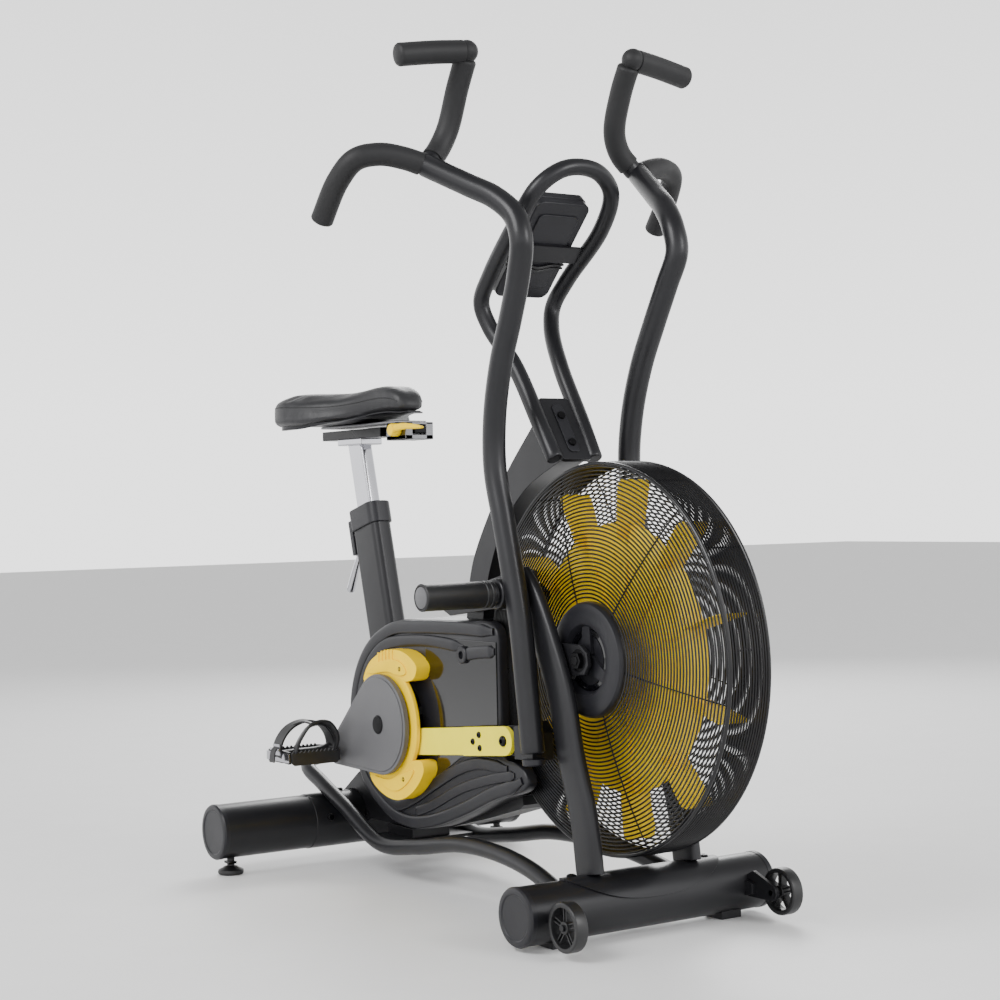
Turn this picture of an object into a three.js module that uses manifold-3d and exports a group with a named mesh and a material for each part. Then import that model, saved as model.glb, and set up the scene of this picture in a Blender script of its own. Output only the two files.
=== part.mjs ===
// Fan-resistance exercise bike. Millimetres, +X forward, +Y the rider's left, +Z up, floor at Z 0.
// Left-hand pieces are the right-hand ones mirrored in Y; the two swing arms rest a few degrees apart.
import * as THREE from "three";
import { mergeVertices } from "three/addons/utils/BufferGeometryUtils.js";
import Module from "manifold-3d";

const wasm = await Module();
wasm.setup();

// ---- driving dimensions ----
const GAP = 0.3; // clearance between pieces that touch in the real machine
const FAN = { x: 279, z: 427, bladeR: 285, discR: 215, blades: 11, firstDeg: 16, bladeW: 62 };
const CAGE = { r: 310, rimHalf: 36, hubR: 94, hubY: 64, rings: [94, 163, 233, 303.5] };
const CRANK = { x: -283, z: 284, throw: 175, pedalDeg: 201, eccentric: 34, eccentricDeg: 288 };
const ARM = { x: 142, z: 530, r: 19, restDeg: 2.5 };
const SEAT = { x: -461, z: 467, leanDeg: 14.5, topT: 208 }; // T runs up the seat tube from (x, z)
const FRONT = { x: 317, z: 52, r: 45, half: 241 };
const REAR = { x: -540, z: 80.5, r: 50, half: 331 };
const WHEEL = { x: 413, z: 50, r: 37.5, y: 210 };
// Layers outward from the mid-plane, as distances from it.
const LAYER = {
  pulley: [44, 52], web: [68, 78], dropout: [76.3, 83.7], lug: [80, 87.5], housing: 82,
  panel: [82.3, 85], strut: [84, 108], rod: [88, 96], endPlate: [96, 102], guard: [98.5, 108],
  crankArm: [112, 124],
};

// ---- geometry helpers ----
const V = (x, y, z) => new THREE.Vector3(x, y, z);
const rad = THREE.MathUtils.degToRad;

function solid(geometry) {
  const g = geometry.clone();
  g.deleteAttribute("normal");
  g.deleteAttribute("uv");
  const m = mergeVertices(g, 1e-3);
  const mesh = new wasm.Mesh({
    numProp: 3,
    vertProperties: new Float32Array(m.attributes.position.array),
    triVerts: new Uint32Array(m.index.array),
  });
  const made = new wasm.Manifold(mesh);
  return made.volume() < 0 ? solid(turned(geometry)) : made;
}

// The same surface with every face turned round.
function turned(geometry) {
  const g = geometry.index ? geometry.toNonIndexed() : geometry.clone();
  const p = g.attributes.position;
  for (let i = 0; i < p.count; i += 3) {
    const [b, c] = [1, 2].map((k) => [p.getX(i + k), p.getY(i + k), p.getZ(i + k)]);
    p.setXYZ(i + 1, ...c);
    p.setXYZ(i + 2, ...b);
  }
  return g;
}

function geometryOf(manifold) {
  const m = manifold.getMesh();
  const n = m.numProp;
  const v = new Float32Array(m.numVert * 3);
  for (let i = 0; i < m.numVert; i++) v.set(m.vertProperties.subarray(i * n, i * n + 3), i * 3);
  return new THREE.BufferGeometry()
    .setAttribute("position", new THREE.BufferAttribute(v, 3))
    .setIndex(new THREE.BufferAttribute(new Uint32Array(m.triVerts), 1));
}

const join = (...parts) => parts.reduce((a, b) => a.add(b));
const cut = (body, ...tools) => tools.reduce((a, b) => a.subtract(b), body);
const moved = (manifold, matrix) => solid(geometryOf(manifold).toNonIndexed().applyMatrix4(matrix));
const mirrored = (manifold) => moved(manifold, new THREE.Matrix4().makeScale(1, -1, 1));

const box = (x0, x1, y0, y1, z0, z1) =>
  solid(new THREE.BoxGeometry(x1 - x0, y1 - y0, z1 - z0)
    .translate((x0 + x1) / 2, (y0 + y1) / 2, (z0 + z1) / 2));

// A cylinder along Y between two Y values.
const cylY = (x, z, r, y0, y1, seg = 32, r2 = r) =>
  solid(new THREE.CylinderGeometry(r2, r, y1 - y0, seg).translate(x, (y0 + y1) / 2, z));

const cylZ = (x, y, r, z0, z1, seg = 24, r2 = r) =>
  solid(new THREE.CylinderGeometry(r2, r, z1 - z0, seg).rotateX(Math.PI / 2)
    .translate(x, y, (z0 + z1) / 2));

const ringY = (x, z, r, hole, y0, y1, seg = 36) =>
  cut(cylY(x, z, r, y0, y1, seg), cylY(x, z, hole, y0 - 1, y1 + 1, seg));

// A side-view outline of [x, z] points given thickness from y0 to y1.
function plate(outline, y0, y1) {
  const shape = new THREE.Shape(outline.map(([x, z]) => new THREE.Vector2(x, z)));
  const g = new THREE.ExtrudeGeometry(shape, { depth: y1 - y0, bevelEnabled: false });
  return solid(g.rotateX(Math.PI / 2).translate(0, y1, 0));
}

// An outline rounded by a closed curve through its points.
function rounded(points, count = 48) {
  const curve = new THREE.CatmullRomCurve3(points.map(([x, z]) => V(x, 0, z)), true, "centripetal");
  return curve.getSpacedPoints(count).slice(0, count).map((p) => [p.x, p.z]);
}

// The outline moved outward by d (inward when negative), whichever way round it runs.
function offset(outline, d) {
  const n = outline.length;
  const area = outline.reduce((s, [x, z], i) => {
    const [u, w] = outline[(i + 1) % n];
    return s + x * w - u * z;
  }, 0);
  const side = Math.sign(area) * d;
  return outline.map(([x, z], i) => {
    const a = outline[(i + n - 1) % n];
    const b = outline[(i + 1) % n];
    const e1 = new THREE.Vector2(x - a[0], z - a[1]).normalize();
    const e2 = new THREE.Vector2(b[0] - x, b[1] - z).normalize();
    const m = new THREE.Vector2(e1.y + e2.y, -e1.x - e2.x);
    const k = side / Math.max(0.35, (m.dot(new THREE.Vector2(e1.y, -e1.x)) / m.length()));
    m.normalize();
    return [x + m.x * k, z + m.y * k];
  });
}

// The belt-like outline round two circles {x, z, r}.
function wrap(a, b, count = 30) {
  const all = [];
  for (const c of [a, b]) {
    for (let i = 0; i < count; i++) {
      const t = (i / count) * 2 * Math.PI;
      all.push([c.x + c.r * Math.cos(t), c.z + c.r * Math.sin(t)]);
    }
  }
  return hull(all);
}

function hull(points) {
  const p = [...points].sort((a, b) => a[0] - b[0] || a[1] - b[1]);
  const turn = (o, a, b) => (a[0] - o[0]) * (b[1] - o[1]) - (a[1] - o[1]) * (b[0] - o[0]);
  const half = (list) => list.reduce((h, q) => {
    while (h.length > 1 && turn(h[h.length - 2], h[h.length - 1], q) <= 1e-6) h.pop();
    h.push(q);
    return h;
  }, []);
  return [...half(p).slice(0, -1), ...half(p.reverse()).slice(0, -1)];
}

// A round rod, or a tube when hole is given, along a smooth curve through the points.
function sweep(points, r, { hole = 0, steps = 24, sides = 12, from = 0, to = 1 } = {}) {
  const whole = new THREE.CatmullRomCurve3(points.map((p) => V(...p)), false, "centripetal");
  const part = Array.from({ length: steps + 1 }, (_, i) =>
    whole.getPointAt(from + ((to - from) * i) / steps));
  const shape = new THREE.Shape().absarc(0, 0, r, 0, 2 * Math.PI, false);
  if (hole) shape.holes.push(new THREE.Path().absarc(0, 0, hole, 0, 2 * Math.PI, true));
  return solid(new THREE.ExtrudeGeometry(shape, {
    steps, curveSegments: sides, bevelEnabled: false,
    extrudePath: new THREE.CatmullRomCurve3(part, false, "centripetal"),
  }));
}

const ball = (x, y, z, r) => solid(new THREE.SphereGeometry(r, 8, 5).translate(x, y, z));

// A rectangle with rounded corners, a along X and b along Y, as an upright prism.
function prism(a, b, corner, z0, z1) {
  const s = new THREE.Shape();
  const [u, w] = [a / 2 - corner, b / 2 - corner];
  s.absarc(u, w, corner, 0, Math.PI / 2, false);
  s.absarc(-u, w, corner, Math.PI / 2, Math.PI, false);
  s.absarc(-u, -w, corner, Math.PI, 1.5 * Math.PI, false);
  s.absarc(u, -w, corner, 1.5 * Math.PI, 2 * Math.PI, false);
  const g = new THREE.ExtrudeGeometry(s, { depth: z1 - z0, bevelEnabled: false, curveSegments: 3 });
  return solid(g.translate(0, 0, z0));
}

// A lathe profile of [radius, y] points turned about the Y-parallel axis through (x, z).
const turnedY = (profile, x, z, seg = 48) =>
  solid(new THREE.LatheGeometry(profile.map(([r, y]) => new THREE.Vector2(r, y)), seg)
    .translate(x, 0, z));

const polar = (c, r, deg) => [c.x + r * Math.cos(rad(deg)), c.z + r * Math.sin(rad(deg))];

// ---- materials ----
const paint = (hex, roughness, metalness = 0) =>
  new THREE.MeshStandardMaterial({ color: hex, roughness, metalness });
const FRAME = () => paint(0x3b3c40, 0.45, 0.3);
const YELLOW = () => paint(0xf2d21b, 0.4);
const PLASTIC = () => paint(0x2f3035, 0.5);
const GLOSS = () => paint(0x08080a, 0.12);
const RUBBER = () => paint(0x141416, 0.85);
const STEEL = () => paint(0xb8bbc0, 0.3, 0.9);
const CHROME = () => paint(0xe6e8ec, 0.08, 1);
const WIRE = () => paint(0x17171a, 0.4, 0.4);

const root = new THREE.Group();
root.name = "air_bike";
function add(name, manifold, material) {
  const mesh = new THREE.Mesh(geometryOf(manifold), material);
  mesh.name = name;
  root.add(mesh);
}
function addPair(name, right, material) {
  add(name + "_right", right, material());
  add(name + "_left", mirrored(right), material());
}

// ---- fan: a disc with flat paddles on an axle ----
const paddle = (i) => {
  const g = new THREE.BoxGeometry(FAN.bladeR - FAN.discR + 18, FAN.bladeW, 3);
  g.translate((FAN.bladeR + FAN.discR - 18) / 2, 0, 0);
  g.rotateY(-rad(FAN.firstDeg + (i * 360) / FAN.blades)).translate(FAN.x, 0, FAN.z);
  return solid(g);
};
const PULLEY_R = { fan: 22, crank: 98 };
const [P0, P1] = LAYER.pulley;
const fanDisc = turnedY([[8.4, -26], [26, -26], [26, -3], [FAN.discR, -3], [FAN.discR, 3], [26, 3],
  [26, P0 - 3], [PULLEY_R.fan, P0 - 3], [PULLEY_R.fan, P1], [8.4, P1], [8.4, -26]], FAN.x, FAN.z, 24);
add("fan_wheel", join(fanDisc, ...Array.from({ length: FAN.blades }, (_, i) => paddle(i))), YELLOW());
add("fan_axle", join(cylY(FAN.x, FAN.z, 8, -94, 94, 20),
  cylY(FAN.x, FAN.z, 13, -94, -85.1, 6), cylY(FAN.x, FAN.z, 13, 85.1, 94, 6)), STEEL());

// ---- cage: two dished grilles, a rim band and a hub plate on each side ----
const dishY = (r) =>
  CAGE.rimHalf + (CAGE.hubY - CAGE.rimHalf) * (1 - ((r - CAGE.hubR) / (CAGE.r - CAGE.hubR)) ** 2);
const wireRing = (r) => {
  const y = -dishY(r);
  const h = 2.7;
  return turnedY([[r - h, y], [r, y - h], [r + h, y], [r, y + h], [r - h, y]], FAN.x, FAN.z, 24);
};
const spoke = (deg) => {
  const outline = CAGE.rings.map((r) => [r, -dishY(r) - 2.2])
    .concat([...CAGE.rings].reverse().map((r) => [r, -dishY(r) + 2.2]));
  const shape = new THREE.Shape(outline.map(([r, y]) => new THREE.Vector2(r, y)));
  const g = new THREE.ExtrudeGeometry(shape, { depth: 4, bevelEnabled: false }).translate(0, 0, -2);
  return solid(g.rotateY(-rad(deg)).translate(FAN.x, 0, FAN.z));
};
const spokes = Array.from({ length: 4 }, (_, i) => spoke(15 + i * 90));
const grille = join(...CAGE.rings.map(wireRing), ...spokes);
// The belt runs from the fan hub out through the left grille to the pulley in the housing.
const beltHull = (grow) => wrap({ x: CRANK.x, z: CRANK.z, r: PULLEY_R.crank + grow },
  { x: FAN.x, z: FAN.z, r: PULLEY_R.fan + grow });
const beltSlot = cut(plate(beltHull(8), P0 - 3, P1 + 3), plate(beltHull(-4), P0 - 4, P1 + 4));
add("cage_grille_right", grille, WIRE());
add("cage_grille_left", cut(mirrored(grille), beltSlot), WIRE());
add("cage_rim", turnedY([[306.3, -CAGE.rimHalf], [CAGE.r + 1, -CAGE.rimHalf],
  [CAGE.r + 3, 0], [CAGE.r + 1, CAGE.rimHalf], [306.3, CAGE.rimHalf], [306.3, -CAGE.rimHalf]],
FAN.x, FAN.z, 40), WIRE());
addPair("hub_plate", turnedY([[9, -60], [9, -56], [90, -56], [90, -68], [86, -74], [58, -74], [52, -66],
  [52, -60], [9, -60]], FAN.x, FAN.z, 22), PLASTIC);

// ---- main frame ----
const arc = (r, deg) => [FAN.x - r * Math.sin(rad(deg)), FAN.z + r * Math.cos(rad(deg))];
const spineRear = [[84, 808], [2, 730], [-60, 655], [-112, 574], [-132, 500], [-140, 427],
  [-166, 385], [-216, 348], [-262, 330]];
const spineFront = [[-252, 296], [-200, 302], [-150, 335], [-110, 375], arc(366, 90), arc(364, 82),
  arc(363, 70), arc(360, 55), arc(352, 40), [160, 744], [108, 822]];
const spineOutline = [...spineRear, ...spineFront];
const BRACE = { x: -104, z: 502 };
add("main_spine", join(plate(spineOutline, -25, 25), cylY(BRACE.x, BRACE.z, 15, -76, 76, 20)), FRAME());

const lowerOutline = [[-586, 120], [-515, 168], [-420, 190], [-345, 236], [-320, 262], [-262, 248],
  [-190, 200], [-80, 172], [-12, 206], [24, 200], [42, 182], [44, 168], [34, 160], [-60, 134],
  [-180, 104], [-260, 92], [-400, 84], [-470, 84], [-500, 70]];
const lowerFrame = join(plate(lowerOutline, -34, 34), cylY(CRANK.x, CRANK.z, 25, -34, 34, 28),
  box(CRANK.x - 22, CRANK.x + 22, -34, 34, 240, 280));
add("lower_frame", cut(lowerFrame,
  cylY(CRANK.x, CRANK.z, 12.4, -60, 60, 28),
  cylY(REAR.x, REAR.z, REAR.r + 3.4, -60, 60, 40)), FRAME());

// Each strut carries a fan dropout and a brace back to the spine's cross tube.
const strutPath = [[315, 99], [300, 190], [273, 268], [245, 376], [209, 453], [172, 516], [138, 552]];
const strutCurve = new THREE.CatmullRomCurve3(strutPath.map(([x, z]) => V(x, 0, z)), false,
  "centripetal");
const strutSide = (d) => Array.from({ length: 15 }, (_, i) => {
  const p = strutCurve.getPointAt(i / 14);
  const t = strutCurve.getTangentAt(i / 14);
  return [p.x - t.z * d, p.z + t.x * d];
});
const strutOutline = [...strutSide(30), ...strutSide(-30).reverse()];
const [D0, D1] = LAYER.dropout;
const strut = join(
  plate(strutOutline, -LAYER.strut[1], -LAYER.strut[0]),
  plate([[170, 452], [282, 452], [300, 440], [303, 420], [292, 405], [215, 398]], -D1 - 1, -D0),
  plate([[160, 566], [118, 568], [-100, 520], [-122, 510], [-122, 494], [-96, 484], [60, 502],
    [172, 520]], -D1 - 1, -D0));
addPair("strut", cut(strut,
  cylY(FAN.x, FAN.z, 8.5, -130, -60, 24),
  box(200, 420, -120, -70, 60, 101.6)), FRAME);

// ---- stabilizers ----
const tubeY = (s, r, half) => cylY(s.x, s.z, r, -half, half, 28);
const wheelArm = (s) => join(
  box(340, WHEEL.x + 12, ...[s * 184, s * 192].sort((a, b) => a - b), 40, 62),
  cylY(WHEEL.x, WHEEL.z, 5, ...[s * 186, s * (WHEEL.y + 15)].sort((a, b) => a - b), 16),
  cylY(WHEEL.x, WHEEL.z, 9, ...[s * (WHEEL.y + 12), s * (WHEEL.y + 15)].sort((a, b) => a - b), 16));
const pad = (y) => box(FRONT.x - 22, FRONT.x + 22, y - 20, y + 20, 0, 16);
const cappedTube = (s) => turnedY([[0, -s.half], [s.r - 3, -s.half], [s.r, -s.half + 4],
  [s.r, s.half - 4], [s.r - 3, s.half], [0, s.half]], s.x, s.z, 28);
add("front_stabilizer", join(cappedTube(FRONT), pad(-166), pad(166), wheelArm(-1), wheelArm(1)),
FRAME());
add("saddle_plate", cut(
  plate(rounded([[FRONT.x - 42, 60], [FRONT.x - 44, 78], [FRONT.x - 30, 94], [FRONT.x, 101],
    [FRONT.x + 30, 94], [FRONT.x + 44, 78], [FRONT.x + 42, 60]], 36), -150, 150),
  tubeY(FRONT, FRONT.r + GAP + 0.4, 200), box(200, 450, -200, 200, 20, 72)), FRAME());
add("rear_stabilizer", join(cappedTube(REAR), tubeY(REAR, REAR.r + 1.2, 140)), FRAME());
const leveller = solid(new THREE.LatheGeometry([[0, 0], [22, 0], [24, 3], [24, 9], [14, 15], [8, 16],
  [8, 30.2], [0, 30.2]].map(([r, y]) => new THREE.Vector2(r, y)), 14)
  .rotateX(Math.PI / 2).translate(REAR.x, -296, 0));
addPair("leveller_foot", leveller, RUBBER);

// One bent tube runs along both sides and round the back as a lifting handle.
const railSide = [[-600, 98, 173], [-540, 102, 151], [-450, 102, 115], [-325, 100, 63], [-200, 97, 73],
  [-60, 97, 96], [60, 100, 98], [170, 108, 87], [262, 118, 66]];
const railPath = [...[...railSide].reverse().map(([x, y, z]) => [x, -y, z]),
  [-634, -70, 184], [-640, 0, 186], [-634, 70, 184], ...railSide];
const railSweep = (r) => sweep(railPath, r, { steps: 32, sides: 4 });
add("base_rail", cut(join(railSweep(14),
  box(-410, -300, -99, 99, 60, 66), box(-400, -310, -40, 40, 66, 83.5)),
  tubeY(FRONT, FRONT.r + GAP + 0.4, 200)), FRAME());

const wheelProfile = (y) => [[5.3, y - 7], [27, y - 7], [29, y - 11], [37.5, y - 9], [37.5, y + 9],
  [29, y + 11], [27, y + 7], [5.3, y + 7], [5.3, y - 7]];
addPair("transport_wheel", turnedY(wheelProfile(-WHEEL.y), WHEEL.x, WHEEL.z, 20), RUBBER);

// ---- seat ----
// Upright prisms are leaned back about Y to lie along the seat tube.
const lean = new THREE.Matrix4().makeTranslation(SEAT.x, 0, SEAT.z)
  .multiply(new THREE.Matrix4().makeRotationY(-rad(SEAT.leanDeg)));
const leaned = (manifold) => moved(manifold, lean);
const T = SEAT.topT;
add("seat_tube", leaned(cut(prism(88, 42, 14, -235, T), prism(54, 28, 6, -215, T + 1))), FRAME());
add("seat_collar", leaned(join(
  cut(prism(97, 51, 18, T - 34, T + 8), prism(88.8, 42.8, 14, T - 35, T + GAP),
    prism(54, 28, 6, T - 40, T + 20)),
  cut(box(-58, -44.8, -20, 20, T - 78, T - 6), box(-60, -45.2, -7.2, 7.2, T - 80, T - 38)))), FRAME());
const POST_TOP = 334;
const railBox = join(box(-658, -430, -22, 22, 806, 826), box(-440, -318, -13, 13, 809, 824));
add("seat_post", join(
  cut(leaned(prism(52, 26, 5, -75, POST_TOP + 24)), box(-700, -400, -60, 60, 812, 900)),
  box(-592, -500, -24, 24, 796, 808), railBox), CHROME());
add("seat_carriage", join(
  cut(box(-392, -322, -30, 30, 798, 830), box(-420, -290, -13.5, 13.5, 808.5, 824.5)),
  box(-640, -348, -36, 36, 829.5, 836)), STEEL());
add("slider_lever", join(cylY(-346, 816, 12, -50, -30.4, 20),
  plate([[-350, 826], [-300, 827], [-246, 821], [-240, 813], [-300, 813], [-350, 810]], -48, -40)),
YELLOW());
add("clamp_lever", leaned(join(
  cylY(-52, T - 55, 5, -5.6, 5.6, 16),
  sweep([[-52, 0, T - 55], [-68, 0, T - 78], [-92, 0, T - 104], [-115, 0, T - 130]], 6,
    { steps: 6, sides: 4 }),
  sweep([[-80, 0, T - 92], [-98, 0, T - 111], [-115, 0, T - 130]], 8.5, { steps: 3, sides: 4 }),
  ball(-115, 0, T - 130, 8.5))), CHROME());

// The saddle is lofted through sections [x, half width, top z, bottom z]; its wings hang lower.
const saddleSections = [[-690, 60, 880, 850], [-676, 104, 891, 838], [-650, 134, 896, 836.4],
  [-618, 141, 897, 836.4], [-575, 133, 895, 836.4], [-535, 112, 893, 836.4], [-500, 88, 893, 838],
  [-462, 66, 896, 843], [-428, 52, 900, 848], [-396, 44, 901, 850], [-370, 38, 896, 850],
  [-350, 30, 884, 848], [-340, 16, 868, 850]];
const WING = { from: 80, to: 115, drop: 10 };
function loft(sections) {
  const N = 16;
  const pos = [];
  const ring = ([x, w, top, low]) => Array.from({ length: N }, (_, i) => {
    const a = (i / N) * 2 * Math.PI;
    const [c, s] = [Math.cos(a), Math.sin(a)];
    const y = w * Math.sign(c) * Math.abs(c) ** 0.6;
    const hang = s < 0 ? WING.drop * THREE.MathUtils.smoothstep(Math.abs(y), WING.from, WING.to) : 0;
    return [x, y, (top + low) / 2 + ((top - low) / 2) * Math.sign(s) * Math.abs(s) ** 0.7 - hang];
  });
  const rings = sections.map(ring);
  const tri = (a, b, c) => pos.push(...a, ...b, ...c);
  rings.slice(1).forEach((r, k) => {
    for (let i = 0; i < N; i++) {
      const j = (i + 1) % N;
      tri(rings[k][i], r[i], r[j]);
      tri(rings[k][i], r[j], rings[k][j]);
    }
  });
  [rings[0], rings[rings.length - 1]].forEach((r, end) => {
    const c = [r[0][0], 0, r.reduce((s, p) => s + p[2], 0) / N];
    for (let i = 0; i < N; i++) {
      const j = (i + 1) % N;
      if (end) tri(c, r[j], r[i]);
      else tri(c, r[i], r[j]);
    }
  });
  return solid(new THREE.BufferGeometry()
    .setAttribute("position", new THREE.BufferAttribute(new Float32Array(pos), 3))
    .setIndex([...Array(pos.length / 3).keys()]));
}
add("saddle", loft(saddleSections), paint(0x1d1d20, 0.7));

// ---- drive housing: two shells, each with a glossy panel let into its side ----
const rearArc = Array.from({ length: 9 }, (_, i) => {
  const t = rad(232 - i * 14.5);
  return [CRANK.x + 177 * Math.cos(t), CRANK.z + 177 * Math.sin(t)];
});
const housingOutline = rounded([...rearArc, [-298, 467], [-205, 473], [-60, 476], [22, 474], [39, 460],
  [41, 400], [43, 330], [47, 266], [62, 250], [90, 246], [113, 234], [121, 216], [108, 203], [21, 177],
  [-71, 141], [-182, 106], [-251, 97], [-315, 106]], 56);
// The rod's lug passes the front edge through a notch.
const lugNotch = box(13, 70, -90, -70, 253, 328);
const housingHalf = cut(
  plate(housingOutline, -LAYER.housing, -GAP / 2),
  plate(offset(housingOutline, -4), -LAYER.housing + 4, 1),
  plate(offset(spineOutline, 0.6), -25.4, 25.4),
  plate(offset(lowerOutline, 0.6), -34.4, 34.4),
  cylY(FAN.x, FAN.z, 318, -58, 58, 48), lugNotch,
  leaned(prism(88.8, 42.8, 14, -240, T)),
  cylY(CRANK.x, CRANK.z, 80, -100, -60, 40));
add("housing_right", housingHalf, PLASTIC());
add("housing_left", cut(mirrored(housingHalf), beltSlot), PLASTIC());
const panelOutline = [[-190, 178], [-80, 234], [0, 251], [26, 251], [26, 438], [-190, 438]];
addPair("side_panel", cut(plate(panelOutline, -LAYER.panel[1], -LAYER.panel[0]),
  cylY(CRANK.x, CRANK.z, 139, -90, -80, 40), lugNotch), GLOSS);

// ---- belt drive ----
add("drive_belt", cut(plate(beltHull(4.6), P0 + 0.3, P1 - 0.3), plate(beltHull(1), P0 - 1, P1 + 1)),
  RUBBER());
add("drive_pulley", ringY(CRANK.x, CRANK.z, PULLEY_R.crank, 12.4, P0, P1), STEEL());

// ---- guard ring with an upper and a lower foot; the link rod passes behind the ring ----
const about = (list) => list.map(([x, z]) => [CRANK.x + x, CRANK.z + z]);
const footTop = about(rounded([[-78, 74], [-60, 104], [-16, 127], [32, 135], [76, 129], [109, 108],
  [100, 88], [70, 80], [20, 82], [-40, 76]], 22));
const footLow = about(rounded([[-62, -80], [-58, -103], [-20, -126], [36, -133], [90, -112], [127, -72],
  [122, -58], [98, -56], [60, -70], [0, -90]], 22));
const guard = join(
  ringY(CRANK.x, CRANK.z, 106, 78, -LAYER.guard[1], -LAYER.guard[0]),
  plate(footTop, -LAYER.guard[1], -LAYER.panel[1] - GAP),
  plate(footLow, -LAYER.guard[1], -LAYER.panel[1] - GAP));
addPair("crank_guard", cut(guard, cylY(CRANK.x, CRANK.z, 78, -120, -60, 36)), YELLOW);

// ---- cranks: axle, inner webs, outer arms ----
const [W0, W1] = LAYER.web;
add("crank_axle", join(cylY(CRANK.x, CRANK.z, 12, -W1, W1, 24), cylY(CRANK.x, CRANK.z, 52, W0, W1, 22),
  cylY(CRANK.x, CRANK.z, 52, -W1, -W0, 22)), STEEL());
const crankArm = (deg) => {
  const [px, pz] = polar(CRANK, CRANK.throw, deg);
  const body = plate(wrap({ x: CRANK.x, z: CRANK.z, r: 90 }, { x: px, z: pz, r: 24 }),
    -LAYER.crankArm[1], -LAYER.crankArm[0]);
  return cut(body, cylY(px, pz, 7.4, -130, -100, 20),
    ringY(CRANK.x, CRANK.z, 66, 56, -LAYER.crankArm[1] - 1, -LAYER.crankArm[1] + 1.5, 24));
};
add("crank_arm_right", crankArm(CRANK.pedalDeg), paint(0x6f7176, 0.5));
add("crank_arm_left", mirrored(crankArm(CRANK.pedalDeg - 180)), paint(0x6f7176, 0.5));

// A caged platform pedal with a toe loop, on its own spindle.
const pedal = (deg) => {
  const [x, z] = polar(CRANK, CRANK.throw, deg);
  const y = -184;
  const frame = cut(box(x - 46, x + 46, y - 54, y + 48, z - 13, z + 13),
    box(x - 38, x - 15, y - 40, y + 40, z - 20, z + 20),
    box(x + 15, x + 38, y - 40, y + 40, z - 20, z + 20));
  const loop = sweep([[x + 40, y - 50, z + 4], [x + 60, y - 46, z + 36], [x + 64, y, z + 64],
    [x + 60, y + 36, z + 38], [x + 42, y + 44, z + 4]], 5, { steps: 14, sides: 3 });
  return join(frame, loop, cylY(x, z, 7, y + 30, -113, 20), cylY(x, z, 15, y + 44, -125, 20));
};
add("pedal_right", pedal(CRANK.pedalDeg), PLASTIC());
add("pedal_left", mirrored(pedal(CRANK.pedalDeg - 180)), PLASTIC());

// ---- swing arms, built mirrored about neutral and then turned to rest ----
const S = [68, -196, 1235];
const armPath = [[204, -130, 280], [196, -130, 370], [184, -130, 490], [168, -130, 570],
  [150, -130, 650], [132, -130, 735], [139, -130, 820], [163, -130, 900], [196, -130, 968],
  [227, -132, 1032], [247, -137, 1085], [234, -139, 1126], [200, -150, 1160], [150, -168, 1189], S];
const dropPath = [S, [56, -232, 1247], [42, -268, 1253], [24, -303, 1245], [-6, -320, 1215],
  [-55, -328, 1155]];
const uprightPath = [[64, -188, 1240], [58, -163, 1268], [63, -147, 1302], [88, -141, 1364],
  [116, -139, 1412], [122, -139, 1424]];
const crossPath = [[121, -141, 1420], [114, -200, 1411], [107, -270, 1400]];
const rodEnd = { x: 78 - ARM.x, z: 288 - ARM.z }; // link rod pivot from the arm's own pivot, at neutral
const lug = join(
  plate(hull([...rounded([[54, 288], [78, 312], [102, 288], [78, 264]], 16), [150, 314], [150, 262]]),
    -LAYER.lug[1], -LAYER.lug[0]),
  plate([[124, 262], [124, 314], [176, 324], [190, 306], [190, 262]], -112, -LAYER.lug[0]),
  box(174, 202, -130, -110, 262, 330));
const rotatedAbout = (c, deg) => new THREE.Matrix4().makeTranslation(c.x, 0, c.z)
  .multiply(new THREE.Matrix4().makeRotationY(rad(deg)))
  .multiply(new THREE.Matrix4().makeTranslation(-c.x, 0, -c.z));
const bars = (r) => [sweep(dropPath, r, { steps: 8, sides: 5 }),
  sweep(uprightPath, r, { steps: 7, sides: 5 }), sweep(crossPath, r, { steps: 2, sides: 5 }),
  ball(121, -140, 1421, r)];
const armBody = cut(join(
  sweep(armPath, ARM.r, { steps: 20, sides: 5 }),
  ...bars(15.7), ball(...S, ARM.r), cylY(ARM.x, ARM.z, 25, -149, -112, 20),
  box(140, 176, -136, -118, 500, 560), lug),
cylY(ARM.x, ARM.z, 10.4, -170, -90, 16), cylY(ARM.x + rodEnd.x, ARM.z + rodEnd.z, 6.4, -110, -70, 20));
const sleeve = (path, steps, from, to) =>
  cut(sweep(path, 20, { steps, sides: 5, from, to }), ...bars(15.7 + GAP));
const dropGrip = join(sleeve(dropPath, 7, 0.16, 0.975), cut(ball(-53, -327.5, 1158, 20),
  ...bars(15.7 + GAP), box(-90, 40, -360, -250, 1157, 1260)));
const upperGrip = sleeve(uprightPath, 6, 0.2, 0.86);
const crossGrip = sleeve(crossPath, 3, 0.22, 0.97);
for (const [side, sign] of [["right", -1], ["left", 1]]) {
  const rest = rotatedAbout(ARM, sign * ARM.restDeg);
  const place = (m) => moved(sign < 0 ? m : mirrored(m), rest);
  add("arm_" + side, place(armBody), FRAME());
  add("drop_grip_" + side, place(dropGrip), RUBBER());
  add("upright_grip_" + side, place(upperGrip), RUBBER());
  add("cross_grip_" + side, place(crossGrip), RUBBER());
}

// ---- pivot shafts with foot pegs ----
addPair("pivot_shaft", join(cylY(ARM.x, ARM.z, 10, -178, -108.3, 16),
  cylY(ARM.x, ARM.z, 19, -155, -150.4, 20)), STEEL);
addPair("foot_peg", cut(join(cylY(ARM.x, ARM.z, 22, -284, -155.3, 24), cylY(ARM.x, ARM.z, 20, -288, -283, 24)),
  cylY(ARM.x, ARM.z, 10.4, -179, -150, 16)), RUBBER);

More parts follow.
